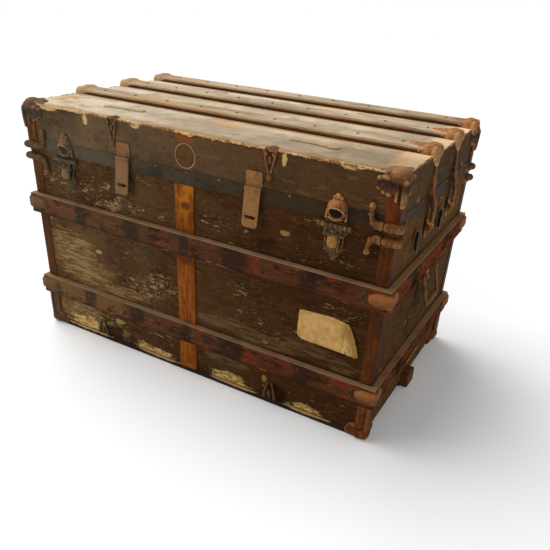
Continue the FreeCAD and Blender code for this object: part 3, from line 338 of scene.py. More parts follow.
def lid_canvas_finish():
    """The lid's canvas: brown walls, a dusty grey-tan top and a front edge chipped to the cloth."""
    f = Finish("painted_canvas_lid", 0.8, 0.0, 0.04)
    upward = f.step(f.z, 0.5655, 0.5682)
    broad = f.cloud(0.22, 4)
    mottle = f.cloud(0.045, 8, 0.66, (1.5, 1.5, 1))
    grain = f.cloud(0.006, 6, 0.7)
    streaks = f.cloud(0.008, 6, 0.66, (6, 2, 1), 2)
    wall = f.coat((78, 58, 38), (104, 86, 66), f.step(f.x, 0.42, -0.4))
    wall.lay((58, 42, 29), f.step(broad, 0.46, 0.66), 0.6)
    wall.lay((62, 46, 32), f.step(mottle, 0.5, 0.7), 0.6)
    wall.lay((116, 94, 66), f.step(streaks, 0.52, 0.68), 0.45)
    wall.blot((48, 35, 25), 0.45, 0.53, 0.62, 0.012, 7, 0.72, shift=14)
    wall.blot((150, 126, 92), 0.55, 0.67, 0.71, 0.004, 5, 0.66, (3, 3, 1), 9)
    flakes = f.ragged(front_zones((-0.269, 0.555, 0.01, 0.018), (0.222, 0.555, 0.008, 0.02),
                                  (-0.13, 0.563, 0.02, 0.009), (0.35, 0.566, 0.03, 0.008),
                                  (-0.38, 0.564, 0.04, 0.009)), 0.006, 0.3, 0.42, (1, 1, 1))
    wall.lay((206, 180, 128), flakes, 0.85)
    wall.lay((128, 74, 40), f.ragged(front_zones((-0.006, 0.558, 0.04, 0.017)), 0.012, 0.25, 0.4, (1.5, 1.5, 1)), 0.75)

    # the top: dusty grey-tan, browner and greyer towards the right, peach where the dust is rubbed off
    dusty = f.mix((176, 156, 130), (204, 186, 160), f.step(broad, 0.34, 0.6))
    rightward = f.scaled(f.x, 0.6, f.cloud(0.15, 5))
    top = f.coat((152, 134, 110), dusty, f.step(rightward, 0.86, 0.4))
    top.blot((136, 128, 112), 0.7, 0.5, 0.68, 0.1, 6, 0.62, (2.2, 1, 1), 2)
    peach = top_zones((0.02, -0.13, 0.09, 0.04), (0.12, -0.02, 0.07, 0.03), (-0.1, 0.03, 0.06, 0.02),
                      (0.1, 0.17, 0.05, 0.03), (0.42, -0.15, 0.05, 0.1), (0.42, 0.12, 0.05, 0.14),
                      (0.24, -0.105, 0.3, 0.016), (0.24, 0.052, 0.26, 0.014), (-0.42, -0.15, 0.04, 0.08),
                      (0.2, 0.192, 0.22, 0.012))
    top.lay((204, 158, 110), f.ragged(peach, 0.014, 0.2, 0.6, (5, 1.4, 1), 5), 0.7)
    top.lay((126, 106, 80), f.step(mottle, 0.52, 0.72), 0.6)
    top.lay((222, 206, 178), f.step(streaks, 0.56, 0.74), 0.5)
    top.blot((112, 88, 62), 0.5, 0.58, 0.66, 0.004, 6, 0.7, (14, 1.2, 1), 6)
    top.blot((150, 122, 90), 0.55, 0.54, 0.64, 0.03, 8, 0.72, (3, 1, 1), 11)
    for low in (-0.0949, 0.062, 0.201):
        beside = f.scaled(f.cloud(0.02, 6, 0.7, (4, 1, 1), 4), 0.03, f.y)
        grime = f.times(f.step(beside, low - 0.004, low + 0.014), f.step(f.y, low + 0.03, low))
        top.lay((140, 100, 62), grime, 0.7)
    top.blot((236, 226, 206), 0.6, 0.72, 0.76, 0.012, 3, 0.6, shift=12)

    # rubbed front edge: yellow cloth showing in broken lengths, brown behind it
    nick = f.cloud(0.03, 9, 0.76, (2.2, 1, 1))
    length = f.blots(0.42, 0.54, 0.11, 4, 0.6, (1, 1, 1), 8)
    behind = f.sum("ADD", f.y, TRUNK_Y)
    lip = f.step(f.scaled(nick, -0.026, behind), -0.006, -0.0095)
    top.lay((156, 116, 76), f.step(f.scaled(nick, -0.05, behind), 0.004, -0.02), 0.8)
    top.lay((228, 192, 130), f.times(lip, f.scaled(length, 0.75, 0.25)))
    hang = f.scaled(f.cloud(0.03, 9, 0.76, (1.3, 1, 1), 1), 0.03, f.z)
    front_side = f.step(f.y, -0.249, -0.2515)
    chips = f.times(f.step(hang, 0.5808, 0.5826), front_side)
    wall.lay(f.mix((180, 132, 76), (224, 196, 128), f.step(grain, 0.44, 0.56)), chips)
    under = f.times(f.times(f.step(hang, 0.577, 0.5805), front_side), f.sum("SUBTRACT", 1.0, chips))
    wall.lay((44, 32, 22), under, 0.6)
    wall.lay((166, 118, 72), f.times(f.step(hang, 0.581, 0.5835), f.on_end(0.447, 0.4495)), 0.8)
    right_end = f.ragged(top_zones((TRUNK_X, 0.0, 0.09, 0.6)), 0.02, 0.2, 0.6, (1, 3, 1))
    top.lay((208, 176, 140), right_end, 0.8)
    near_front = f.left_to_right((1.16, 1.18, 1.2), (0.84, 0.82, 0.8))
    above = f.mix(near_front, (1.25, 1.3, 1.35, 1.0), f.step(f.y, -0.17, -0.1))
    above = f.mix(above, (1.5, 1.62, 1.78, 1.0), f.step(f.y, 0.0, 0.2))
    beside = f.mix(f.left_to_right((0.95, 0.93, 0.86), (0.95, 0.82, 0.66)), (1.0, 0.96, 0.66, 1.0),
                   f.on_end(0.4485, 0.4495))
    f.weave(1.6, 0.035)
    f.add_relief((mottle, 0.6), (grain, 0.2), (lip, -0.5))
    return f.done(f.mix(wall, top, upward), f.scaled(mottle, 0.25, 0.62), f.mix(beside, above, upward))


def wood_finish(name, dark, light, worn, along, gloss=0.2, rough=0.6, wear=0.4):
    """Varnished or bare wood with its grain along one axis."""
    f = Finish(name, rough, 0.0, gloss)
    long_grain = [4 if axis == along else 1 for axis in "xyz"]
    grain = f.cloud(0.006, 6, 0.65, [14 if axis == along else 1 for axis in "xyz"], swirl=0.4)
    coat = f.coat(dark, light, f.step(grain, 0.35, 0.65))
    coat.blot(dark, 0.7, 0.48, 0.66, 0.05, 5, 0.6, long_grain)
    scuffs = f.times(f.blots(0.58, 0.68, 0.012, 8, 0.7, long_grain, shift=4), wear)
    coat.lay(worn, scuffs)
    f.add_relief((grain, 0.25), (scuffs, -0.4))
    return f, coat


def side_slat_finish(name, along):
    """Dark red-brown slats, black at the joints, grey with dust on their upper side."""
    gloss = 0.06 if along == "x" else 0.0
    f, coat = wood_finish(name, (74, 46, 31), (104, 66, 45), (118, 86, 58), along, gloss, 0.75, 0.3)
    coat.blot((120, 50, 30), 0.6, 0.46, 0.58, 0.06, 4, 0.55, shift=6)
    film = f.times(f.blots(0.44, 0.6, 0.03, 7, 0.7, (3, 3, 1), 9), f.step(f.x, 0.25, -0.35))
    coat.lay((74, 62, 48), film, 0.8)
    heights = (0.115, 0.335)
    if along == "x":
        joints = front_zones(*[(x, z, wide, 0.08) for x, wide in ((-0.303, 0.03), (-0.151, 0.04), (-0.003, 0.02),
                                                                 (0.122, 0.06), (0.295, 0.034)) for z in heights])
        joints += back_zones(*[(x, z, 0.035, 0.08) for x in (-0.25, 0.02, 0.27) for z in heights])
        tan = f.ragged(front_zones((-0.36, 0.115, 0.16, 0.07), (-0.24, 0.11, 0.1, 0.05)), 0.012, 0.1, 0.6, (6, 6, 1))
        coat.lay((112, 84, 52), tan, 0.7)
    else:
        joints = end_zones(*[(y, z, 0.03, 0.08) for y in (-0.12, 0.1) for z in heights])
    coat.lay((46, 36, 29), f.ragged(joints, 0.02, 0.15, 0.6), 0.8)
    coat.blot((36, 25, 18), 0.75, 0.52, 0.6, 0.022, 7, 0.72, (2.6, 2.6, 1), 12)
    coat.blot((158, 122, 84), 0.6, 0.6, 0.65, 0.006, 7, 0.72, (4, 4, 1), 13)
    upper = None
    for low in SLAT_LOWS:
        top = low + SLAT_TALL
        dust = f.scaled(f.blots(0.36, 0.55, 0.02, 6, 0.7, (3, 3, 1)), 0.35, 0.6)
        rim = f.between(f.z, (top - 0.003, top - 0.0008), (top + 0.01, top + 0.005))
        coat.lay((122, 102, 78), f.times(rim, dust))
        upper = rim if upper is None else f.larger(upper, rim)
        orange = f.times(f.near(f.z, low, 0.001, 0.005), f.blots(0.54, 0.62, 0.03, 5, 0.6, (3, 3, 1), 8))
        coat.lay((176, 98, 36), orange, 0.75)
        shade = f.between(f.z, (low + 0.008, low + 0.001), (low - 0.01, low - 0.001))
        coat.lay((40, 26, 19), f.times(shade, f.sum("SUBTRACT", 0.6, f.times(orange, 0.6))))
    if along == "x":
        tone, dusty = f.left_to_right((0.9, 0.92, 0.76), (0.8, 0.6, 0.4)), (1.3, 1.2, 1.1, 1.0)
    else:
        tone, dusty = (1.0, 1.05, 0.95, 1.0), (1.8, 1.6, 1.35, 1.0)
    return f.done(coat, 0.7, f.mix(tone, dusty, upper))


def lid_slat_finish():
    """Lid slats: tops as dusty as the canvas, dark worn sides with an orange arris, and a painted shadow where they
    meet the canvas.
    """
    f, coat = wood_finish("lid_slat_wood", (86, 58, 38), (122, 84, 54), (150, 112, 74), "x", 0.12, 0.75)
    edge = f.scaled(f.cloud(0.008, 6, 0.7, (4, 1, 1), 2), 0.004, f.z)
    top = f.step(edge, 0.5768, 0.5784)
    dust = f.coat((148, 130, 106), (198, 178, 148), f.blots(0.34, 0.6, 0.07, 7, 0.66, (3, 1, 1)))
    dust.blot((190, 144, 98), 0.65, 0.48, 0.62, 0.06, 6, 0.62, (4, 1, 1), 3)
    # painted contact shadow along the foot of each slat, where it meets the canvas
    coat.lay((40, 28, 20), f.step(f.z, 0.5735, 0.5695), 0.85)
    arris = f.times(f.near(f.z, 0.5752, 0.0006, 0.001), f.blots(0.4, 0.56, 0.02, 6, 0.7, (3, 1, 1)))
    coat.lay(dust, top, 0.92)
    coat.lay((150, 104, 62), arris, 0.6)
    coat.lay((120, 84, 52), f.times(f.blots(0.56, 0.66, 0.008, 7, 0.72, (5, 1, 1), 8), f.times(top, 0.5)))
    return f.done(coat, 0.75, f.mix((0.8, 0.72, 0.6, 1.0), (1.1, 1.1, 1.1, 1.0), top))


def strip_finish(name, dark, mid, bright, blotches=0.8):
    """Orange varnish that has crazed and run dark."""
    f, coat = wood_finish(name, dark, mid, bright, "z", 0.06, 0.6, 0.2)
    # painted highlight: brighter blotches across the upper part, from 0.36 m up
    coat.lay(bright, f.times(f.step(f.z, 0.36, 0.45), f.times(f.blots(0.38, 0.56, 0.05, 5, 0.6), 0.75)))
    coat.blot((50, 28, 15), blotches, 0.53, 0.63, 0.01, 8, 0.74, (1, 1, 2.4))
    knot = f.ragged(front_zones((-0.003, 0.42, 0.018, 0.013), (-0.006, 0.3, 0.03, 0.02)), 0.005, 0.15, 0.5, (1, 1, 1))
    coat.lay((54, 32, 18), knot, 0.75)
    coat.blot(dark, 0.7, 0.46, 0.6, 0.05, 6, 0.66, (1, 1, 1.6), 5)
    coat.lay((40, 26, 18), f.step(f.cells(0.016), 0.16, 0.1), 0.5)
    tone = f.mix((1.0, 0.9, 0.6, 1.0), (0.66, 0.56, 0.36, 1.0), f.step(f.z, 0.1, 0.44))
    tone = f.mix(tone, (0.95, 0.98, 0.9, 1.0), f.step(f.x, -0.3, -0.42))
    return f.done(coat, 0.6, f.mix(tone, (0.62, 0.56, 0.3, 1.0), f.on_end(0.4502, 0.4508)))


def rust_finish(name, body, orange, dark, light, metal=0.15, rough=0.75, pit=0.004, bloom_share=0.5, glow=(),
                grey=(82, 72, 56)):
    """Rusted sheet iron: brown, orange blooms and dark pits, painted shade in its hollows and painted highlight on its
    crests as rubbed high spots; greyer to the left.

    Glow lists heights: a lit band between the first two, and a shade from the first down to the third.
    """
    f = Finish(name, rough, metal, 0.14)
    bloom = f.cloud(0.03, 6, 0.65)
    speck = f.cloud(0.005, 8, 0.72)
    coat = f.coat(body, orange, f.times(f.step(bloom, 0.44, 0.62), bloom_share))
    coat.lay(dark, f.step(speck, 0.5, 0.7), 0.7)
    coat.blot(dark, 0.55, 0.5, 0.66, 0.02, 5, 0.6, shift=3)
    coat.blot(light, 0.65, 0.57, 0.7, 0.009, 6, 0.7, shift=7)
    # painted shade where a casting's surface lies in a hollow, and painted highlight, as rubbed high spots, on its
    # crests
    felt = f.made("Attribute", {}, "Fac", attribute_name="hollow")
    depth = f.scaled(f.sum("SUBTRACT", speck, 0.5), 0.8, felt)
    coat.lay(dark, f.step(depth, 0.12, 0.6), 0.85)
    coat.lay(light, f.step(depth, -0.3, -1.1), 0.65)
    for low, high, shade in glow:
        coat.lay(light, f.between(f.z, (low, high), (high + 0.012, high)), 0.55)
        coat.lay(dark, f.between(f.z, (low, shade), (shade - 0.02, shade)), 0.8)
    coat.lay(grey, f.step(f.x, 0.1, -0.42), 0.5)
    f.add_relief((bloom, 0.5), (speck, 0.3), (f.cells(pit), 0.1))
    return f.done(coat, f.scaled(speck, 0.35, rough - 0.18),
                  f.left_to_right((0.8, 0.78, 0.68), (0.88, 0.74, 0.52)))


def band_finish():
    """The lid's iron band: dull grey-green paint over iron, browner to the right."""
    f = Finish("lid_band_iron", 0.7, 0.0, 0.08)
    mottle = f.cloud(0.04, 7, 0.66, (2.4, 2.4, 1))
    coat = f.coat((64, 50, 34), (86, 78, 62), f.step(f.x, 0.4, -0.4))
    coat.lay((46, 42, 34), f.step(mottle, 0.48, 0.68), 0.85)
    coat.blot((76, 54, 36), 0.6, 0.52, 0.64, 0.06, 5, 0.6, (2, 2, 1), 4)
    coat.blot((128, 112, 84), 0.5, 0.64, 0.69, 0.004, 6, 0.68, (4, 4, 1), 2)
    coat.blot((36, 32, 27), 0.5, 0.54, 0.62, 0.01, 7, 0.72, (1.6, 1.6, 1), 9)
    f.add_relief((mottle, 0.4))
    tone = f.mix(f.left_to_right((0.88, 0.86, 0.82), (0.62, 0.54, 0.36)), (0.9, 0.7, 0.36, 1.0),
                 f.on_end(0.4497, 0.4502))
    return f.done(coat, 0.68, tone)


def fray_finish():
    """Frayed cloth: yellow and tan in broken lengths between brown."""
    f = Finish("frayed_edge_cloth", 0.9, 0.0, 0.1)
    length = f.blots(0.46, 0.54, 0.09, 6, 0.7, (1, 1, 1), 8)
    thread = f.cloud(0.004, 5, 0.7)
    coat = f.coat((140, 96, 60), (206, 166, 108), length)
    coat.lay((236, 212, 160), f.times(f.step(thread, 0.52, 0.66), f.times(length, 0.8)))
    coat.blot((84, 58, 36), 0.6, 0.54, 0.64, 0.018, 6, 0.7, shift=2)
    f.add_relief((thread, 0.4))
    return f.done(coat, 0.88)


def label_finish():
    """Aged paper: buff, foxed, creased and darker at its torn end."""
    f = Finish("aged_label_paper", 0.9, 0.0, 0.1)
    stain = f.cloud(0.03, 6, 0.65)
    coat = f.coat((236, 202, 140), (206, 168, 106), f.step(stain, 0.4, 0.64))
    coat.blot((146, 106, 60), 0.6, 0.6, 0.7, 0.008, 7, 0.7, shift=2)
    creases = f.blots(0.56, 0.62, 0.006, 5, 0.6, (1, 1, 6), 3)
    coat.lay((150, 116, 70), f.times(creases, f.step(f.x, 0.36, 0.4)))
    coat.lay((158, 126, 70), f.step(f.scaled(f.z, 0.36, f.x), 0.462, 0.478), 0.75)
    edge = f.patches([((0.3429, -0.2535, 0.2305), (0.1, 0.05, 0.052))])
    coat.lay((150, 112, 64), f.step(edge, 0.22, 0.0), 0.5)
    f.add_relief((f.cloud(0.003, 5, 0.7), 0.1), (stain, 1.0), (creases, 0.5))
    return f.done(coat, 0.88, (0.7, 0.6, 0.46, 1.0))


def lining_finish():
    """Printed lining paper: cream with thin faded stripes, browned with age."""
    f = Finish("striped_lining_paper", 0.9, 0.0, 0.1)
    stain = f.cloud(0.12, 7, 0.66)
    coat = f.coat((196, 180, 146), (158, 134, 98), f.step(stain, 0.42, 0.68))
    for axis in (f.x, f.y):
        coat.lay((128, 92, 74), f.step(f.sum("SINE", f.times(axis, math.tau / (24 * MM))), 0.86, 0.96), 0.35)
    coat.blot((104, 76, 48), 0.6, 0.62, 0.72, 0.02, 6, 0.7, shift=2)
    f.add_relief((stain, 0.8))
    return f.done(coat)


def pine_finish(name, along):
    f, coat = wood_finish(name, (120, 88, 56), (158, 122, 82), (158, 122, 82), along, 0.25, 0.75)
    return f.done(coat, 0.78)


def runner_finish():
    """Runners blackened by the floor, torn pale wood along the front one."""
    f, coat = wood_finish("runner_wood", (34, 25, 18), (54, 38, 26), (54, 38, 26), "x", 0.1, 0.75)
    torn = f.ragged(front_zones((-0.33, 0.014, 0.11, 0.011), (-0.1, 0.014, 0.11, 0.011), (0.12, 0.014, 0.1, 0.01),
                                (0.31, 0.014, 0.09, 0.011)), 0.007, 0.25, 0.4, (4, 1, 1))
    coat.lay((178, 142, 92), torn, 0.85)
    return f.done(coat, 0.78)


FINISHES = {
    "base_canvas": base_canvas_finish(),
    "lid_canvas": lid_canvas_finish(),
    "slat_x": side_slat_finish("long_slat_wood", "x"),
    "slat_y": side_slat_finish("end_slat_wood", "y"),
    "lid_slat": lid_slat_finish(),
    "strip": strip_finish("orange_varnished_wood", (112, 60, 18), (158, 92, 26), (214, 136, 34)),
    "binding": strip_finish("corner_binding_hide", (70, 38, 16), (104, 56, 22), (128, 70, 26), 0.5),
    "fray": fray_finish(),
    "band": band_finish(),
    "label": label_finish(),
    "lining": lining_finish(),
    "pine_x": pine_finish("aged_pine_long", "x"),
    "pine_y": pine_finish("aged_pine_across", "y"),
    "runner": runner_finish(),
}

# Each rusted metal: its material's name, its body, orange, dark and light, and what else is its own
# painted light on the knobbed caps: a lit band across each one's middle and painted shade low down
CAP_GLOW = [(low + 0.012, low + 0.034, low + 0.008) for low in SLAT_LOWS]
RUSTS = {
    "rust": ("rusted_caps", (106, 74, 47), (144, 88, 45), (50, 35, 25), (172, 128, 86), dict(bloom_share=0.6)),
    "rust_lid": ("brown_lid_caps", (98, 68, 48), (122, 76, 44), (36, 26, 20), (196, 156, 118),
                 dict(glow=[(0.56, 0.58, 0.55)])),
    "rust_foot": ("red_brown_foot_caps", (96, 52, 28), (140, 78, 32), (46, 26, 17), (166, 110, 64),
                  dict(bloom_share=0.7)),
    "rust_dark": ("rusted_dark_iron", (66, 50, 36), (96, 64, 40), (34, 26, 21), (120, 94, 66), {}),
    # the knobbed caps are rubbed, and carry the painted lit band and painted shade of CAP_GLOW
    "rust_cap": ("knobbed_caps_rubbed_and_lit", (112, 72, 44), (146, 84, 42), (48, 33, 23), (176, 122, 80),
                 dict(bloom_share=0.6, glow=CAP_GLOW)),
    "rust_pale": ("rubbed_slat_end_caps", (172, 128, 90), (200, 136, 84), (100, 72, 50), (232, 196, 156),
                  dict(bloom_share=0.7, grey=(228, 196, 160))),
    "clasp": ("rubbed_corner_clasps", (104, 74, 44), (132, 84, 42), (46, 33, 22), (186, 150, 104), {}),
    "handle": ("rubbed_handle", (134, 104, 76), (146, 108, 72), (64, 48, 34), (196, 164, 126),
               dict(bloom_share=0.4)),
    "handle_leaf": ("pale_handle_leaf", (176, 136, 104), (184, 136, 98), (96, 72, 52), (214, 184, 146),
                    dict(bloom_share=0.4)),
    "socket": ("rubbed_end_sockets", (140, 100, 54), (176, 118, 56), (52, 38, 24), (206, 158, 96),
               dict(bloom_share=0.8)),
    "bumper": ("pale_rimmed_bumpers", (64, 50, 38), (84, 60, 40), (24, 19, 16), (196, 182, 158), {}),
    "brass": ("tarnished_latch_metal", (128, 98, 68), (196, 134, 84), (60, 46, 34), (208, 172, 126),
              dict(metal=0.1, rough=0.55, bloom_share=0.7)),
    "brass_dark": ("dark_latch_metal", (82, 66, 46), (104, 76, 48), (26, 20, 15), (156, 130, 98),
                   dict(metal=0.1, rough=0.6)),
    # painted shade: near-black for the inside of the latch hoods and the gaps of the end sockets
    "hollow_shade": ("hood_hollow_shade_black", (26, 21, 18), (34, 26, 20), (14, 12, 10), (40, 34, 28), dict(metal=0.0, rough=0.9)),
    "gold": ("rubbed_latch_tongue", (160, 124, 72), (176, 118, 66), (84, 64, 38), (200, 172, 112), dict(rough=0.55)),
    "hasp": ("brown_hasp_metal", (150, 112, 78), (156, 110, 72), (118, 84, 58), (168, 130, 94),
             dict(metal=0.1, rough=0.7)),
    "hasp_dark": ("brown_hasp_plate", (150, 110, 74), (160, 108, 64), (100, 70, 46), (178, 138, 96),
                  dict(metal=0.1, rough=0.7)),
    "ring_pale": ("pale_disc_ring", (136, 104, 70), (150, 104, 62), (78, 56, 38), (206, 176, 132),
                  dict(metal=0.1, rough=0.7)),
    "disc_field": ("brown_disc_field", (96, 66, 40), (112, 70, 38), (66, 46, 30), (124, 92, 58),
                   dict(metal=0.0, rough=0.8)),
    "nail": ("nail_iron", (60, 48, 38), (92, 64, 42), (32, 27, 24), (150, 128, 98), {}),
    "nail_pale": ("dusty_lid_nails", (132, 112, 86), (150, 118, 84), (84, 66, 48), (186, 170, 142), {}),
    "strap": ("end_strap_iron", (92, 62, 38), (160, 104, 54), (44, 33, 24), (190, 146, 92),
              dict(pit=0.002, bloom_share=0.9)),
    "plate": ("dusty_plate_iron", (176, 158, 130), (184, 152, 116), (84, 70, 54), (208, 192, 164),
              dict(glow=[(0.5709, 0.5714, 0.5696)], grey=(186, 170, 144))),
    "steel": ("dull_steel", (108, 100, 88), (128, 104, 78), (58, 50, 42), (190, 180, 160), dict(metal=0.6, rough=0.45)),
}
for key, (*given, more) in RUSTS.items():
    FINISHES[key] = rust_finish(*given, **more)

NODE_FINISHES = {
    "base_canvas": "base_canvas",
    "lid_canvas": "lid_canvas",
    "slat_x": "front_slats back_slats",
    "slat_y": "left_end_slats right_end_slats",
    "lid_slat": "lid_slats",
    "strip": "front_centre_strip",
    "binding": "base_corner_bindings lid_corner_strips",
    "rust": "slat_corner_caps bottom_corner_caps lid_corner_caps lid_slat_caps runner_end_caps"
            " base_corner_clamps lid_corner_clamps lid_front_clips",
    "rust_dark": "bottom_edge_clips lid_front_disc latch_plates latch_pins hasp_staples end_bumpers"
                 " base_hinge_leaves lid_hinge_leaves hinge_pins",
    "plate": "lid_top_plates",
    "steel": "latch_springs lid_guide_rim",
    "brass": "latch_catches left_latch_lever right_latch_lever",
    "hasp": "hasp_plates hasp_pins left_hasp_strap right_hasp_strap",
    "handle": "handle_brackets left_handle right_handle",
    "strap": "end_sockets lid_end_straps",
    "band": "lid_band",
    "label": "paper_label",
    "lining": "base_lining lid_lining",
    "nail": "base_nails",
    "nail_pale": "lid_nails",
    "pine_x": "front_board back_board bottom_planks lid_front_rail lid_back_rail lid_top_planks",
    "pine_y": "left_end_board right_end_board lid_left_rail lid_right_rail",
    "runner": "bottom_runners",
}
bare_nodes = set(NODES)
for key, node_names in NODE_FINISHES.items():
    for node_name in node_names.split():
        mesh = NODES[node_name].data
        mesh.materials.clear()
        mesh.materials.append(FINISHES[key])
        bare_nodes.remove(node_name)
assert not bare_nodes, bare_nodes


# ---------------------------------------------------------------- modelled pieces

SMOOTHINGS = 14  # how far round a point its hollow is felt
DEEPEST = 2.0  # the deepest hollow and the highest crest that count
CAST_FROM = 3000  # a mesh with more points than this is a casting, whose hollows are felt
SHARP_FROM = 44  # degrees between faces
SHALLOW = 6 * MM  # how far a casting may reach into the boards that carry it


def feel_hollows(mesh):
    """Store how far each point lies in a hollow (above 0) or on a crest (below 0), in millimetres."""
    count = len(mesh.vertices)
    start = numpy.empty(count * 3)
    normals = numpy.empty(count * 3)
    ends = numpy.empty(len(mesh.edges) * 2, dtype=numpy.int64)
    mesh.vertices.foreach_get("co", start)
    mesh.vertices.foreach_get("normal", normals)
    mesh.edges.foreach_get("vertices", ends)
    start, normals, ends = start.reshape(-1, 3), normals.reshape(-1, 3), ends.reshape(-1, 2)
    both = numpy.concatenate([ends, ends[:, ::-1]])
    near = numpy.maximum(numpy.bincount(both[:, 0], minlength=count), 1)
    places = start
    for _ in range(SMOOTHINGS):
        places = numpy.stack([numpy.bincount(both[:, 0], places[both[:, 1], axis], count) / near
                              for axis in range(3)], axis=1)
    depth = ((places - start) * normals).sum(axis=1) / MM
    felt = mesh.attributes.new("hollow", "FLOAT", "POINT")
    felt.data.foreach_set("value", numpy.clip(depth, -DEEPEST, DEEPEST).astype(numpy.float32))


def placed(name, data):
    """A new object in the scene."""
    holder = bpy.data.objects.new(name, data)
    bpy.context.scene.collection.objects.link(holder)
    return holder


def settle(shape, name, finish, body, slot, *stands_for):
    """Make a shape an object that rides on its body and stands for its CAD nodes."""
    mesh = bpy.data.meshes.new(name)
    shape.to_mesh(mesh)
    shape.free()
    for face in mesh.polygons:
        face.use_smooth = True
    mesh.set_sharp_from_angle(angle=math.radians(SHARP_FROM))
    if len(mesh.vertices) > CAST_FROM:
        feel_hollows(mesh)
    mesh.materials.append(FINISHES[finish])
    piece = placed(name, mesh)
    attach(piece, body)
    if stands_for:
        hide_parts(*stands_for)


def lump(shape, middle, reach, steps=20):
    """An egg-shaped lump: its middle and its reach along each axis, in millimetres."""
    place = Matrix.Translation(Vector(middle) * MM) @ Matrix.Diagonal(Vector(reach) * MM).to_4x4()
    bmesh.ops.create_uvsphere(shape, u_segments=steps, v_segments=steps * 3 // 5, radius=1.0, matrix=place)


def edges_of(verts):
    """The edges that meet some points, each once and in a fixed order."""
    return list(dict.fromkeys(edge for vert in verts for edge in vert.link_edges))


def bevel(shape, edges, radius, segments):
    """Round some edges, by a radius in millimetres."""
    bmesh.ops.bevel(shape, geom=edges, offset=radius * MM, segments=segments, affect="EDGES", profile=0.5, material=-1)


def run(shape, points, out=(0, -1, 0), knots=True, sides=12):
    """A bar through points of (x, y, z, half width, half thickness), in millimetres."""
    made = bmesh.ops.create_grid(shape, x_segments=sides, y_segments=len(points) - 1, size=1.0)["verts"]
    places = [Vector(point[:3]) for point in points]
    for number, vert in enumerate(made):
        row, turn = divmod(number, sides + 1)
        ahead = (places[min(row + 1, len(places) - 1)] - places[max(row - 1, 0)]).normalized()
        across = ahead.cross(Vector(out)).normalized()
        wide, thick = points[row][3], points[row][-1]
        angle = math.tau * turn / sides
        ring_place = across * (wide * math.cos(angle)) + across.cross(ahead) * (thick * math.sin(angle))
        vert.co = (places[row] + ring_place) * MM
    edges = edges_of(made)
    bmesh.ops.remove_doubles(shape, verts=made, dist=1e-7)
    rims = [edge for edge in edges if edge.is_valid and edge.is_boundary]
    bmesh.ops.holes_fill(shape, edges=rims, sides=sides + 1)
    if knots:
        for point in points:
            lump(shape, point[:3], (point[3], point[3], point[3]), steps=12)


def slab(shape, low, high, round_by=0.0):
    """A box between two corners in millimetres, its edges rounded."""
    size = [(b - a) * MM for a, b in zip(low, high)]
    middle = [(a + b) / 2 * MM for a, b in zip(low, high)]
    place = Matrix.Translation(middle) @ Matrix.Diagonal(size).to_4x4()
    made = bmesh.ops.create_cube(shape, size=1.0, matrix=place)["verts"]
    if round_by:
        bevel(shape, edges_of(made), round_by, 3)
    return made


def plate(shape, low, high, corners):
    """A flat plate facing front. Corners gives (x side, z side, radius) for each rounded corner."""
    made = slab(shape, low, high)
    middle = [(a + b) / 2 * MM for a, b in zip(low, high)]
    edges = edges_of(made)
    for x_side, z_side, radius in corners:
        upright = [edge for edge in edges if edge.is_valid and all(
            (vert.co.x - middle[0]) * x_side > 0 and (vert.co.z - middle[2]) * z_side > 0 for vert in edge.verts)]
        bevel(shape, upright, radius, 5)
    front = [edge for edge in shape.edges if all(abs(vert.co.y - low[1] * MM) < 1e-6 for vert in edge.verts)]
    bevel(shape, front, 0.5, 2)


def barrel(shape, low_x, high_x, y, z, radius):
    """A rolled knuckle along the trunk."""
    place = Matrix.Translation(Vector(((low_x + high_x) / 2, y, z)) * MM) @ Matrix.Rotation(math.pi / 2, 4, "Y")
    bmesh.ops.create_cone(shape, cap_ends=True, segments=24, radius1=radius * MM, radius2=radius * MM,
                          depth=(high_x - low_x) * MM, matrix=place)


def ring(shape, middle, radius, wire, stand=1.0):
    """A round wire that faces front; stand squeezes it front to back."""
    centre = Vector(middle) * MM
    place = Matrix.Translation(centre + Vector((radius * MM, 0, 0))) @ Matrix.Diagonal((1, stand, 1, 1))
    made = bmesh.ops.create_circle(shape, segments=10, radius=wire * MM, matrix=place)["verts"]
    bmesh.ops.spin(shape, geom=made + edges_of(made), cent=centre, axis=(0, 1, 0), angle=math.tau,
                   steps=36, use_merge=True, use_duplicate=False)


def finished_mesh(holder):
    """An object's mesh with its modifiers taken in; the object goes."""
    graph = bpy.context.evaluated_depsgraph_get()
    mesh = bpy.data.meshes.new_from_object(holder.evaluated_get(graph))
    shape = bmesh.new()
    shape.from_mesh(mesh)
    bpy.data.objects.remove(holder)
    return shape


def holder_of(shape):
    """A shape as an object that modifiers can work on; the shape goes."""
    mesh = bpy.data.meshes.new("rough")
    shape.to_mesh(mesh)
    shape.free()
    return placed("rough", mesh)


def cast(shape, grain=1.3, rubs=4):
    """Melt overlapping lumps into one skin and rub it smooth, as a casting is."""
    holder = holder_of(shape)
    melt = holder.modifiers.new("melt", "REMESH")
    melt.mode = "VOXEL"
    melt.voxel_size = grain * MM
    rub = holder.modifiers.new("rub", "SMOOTH")
    rub.iterations = rubs
    rub.factor = 0.5
    return finished_mesh(holder)


def hollowed(shape, tool):
    """The shape with another cut out of it."""
    holder = holder_of(shape)
    cutter = holder_of(tool)
    cut = holder.modifiers.new("cut", "BOOLEAN")
    cut.operation = "DIFFERENCE"
    cut.solver = "EXACT"
    cut.object = cutter
    result = finished_mesh(holder)
    bpy.data.objects.remove(cutter)
    return result


def add(shape, other):
    """Another shape's faces put into this one; the other goes."""
    part = bpy.data.meshes.new("part")
    other.to_mesh(part)
    other.free()
    shape.from_mesh(part)
    bpy.data.meshes.remove(part)
    return shape


def trim(shape, axis, low=-1000, high=1000):
    """Press what passes a limit on one axis back to it, in millimetres."""
    number = "xyz".index(axis)
    for vert in shape.verts:
        vert.co[number] = min(max(vert.co[number], low * MM), high * MM)


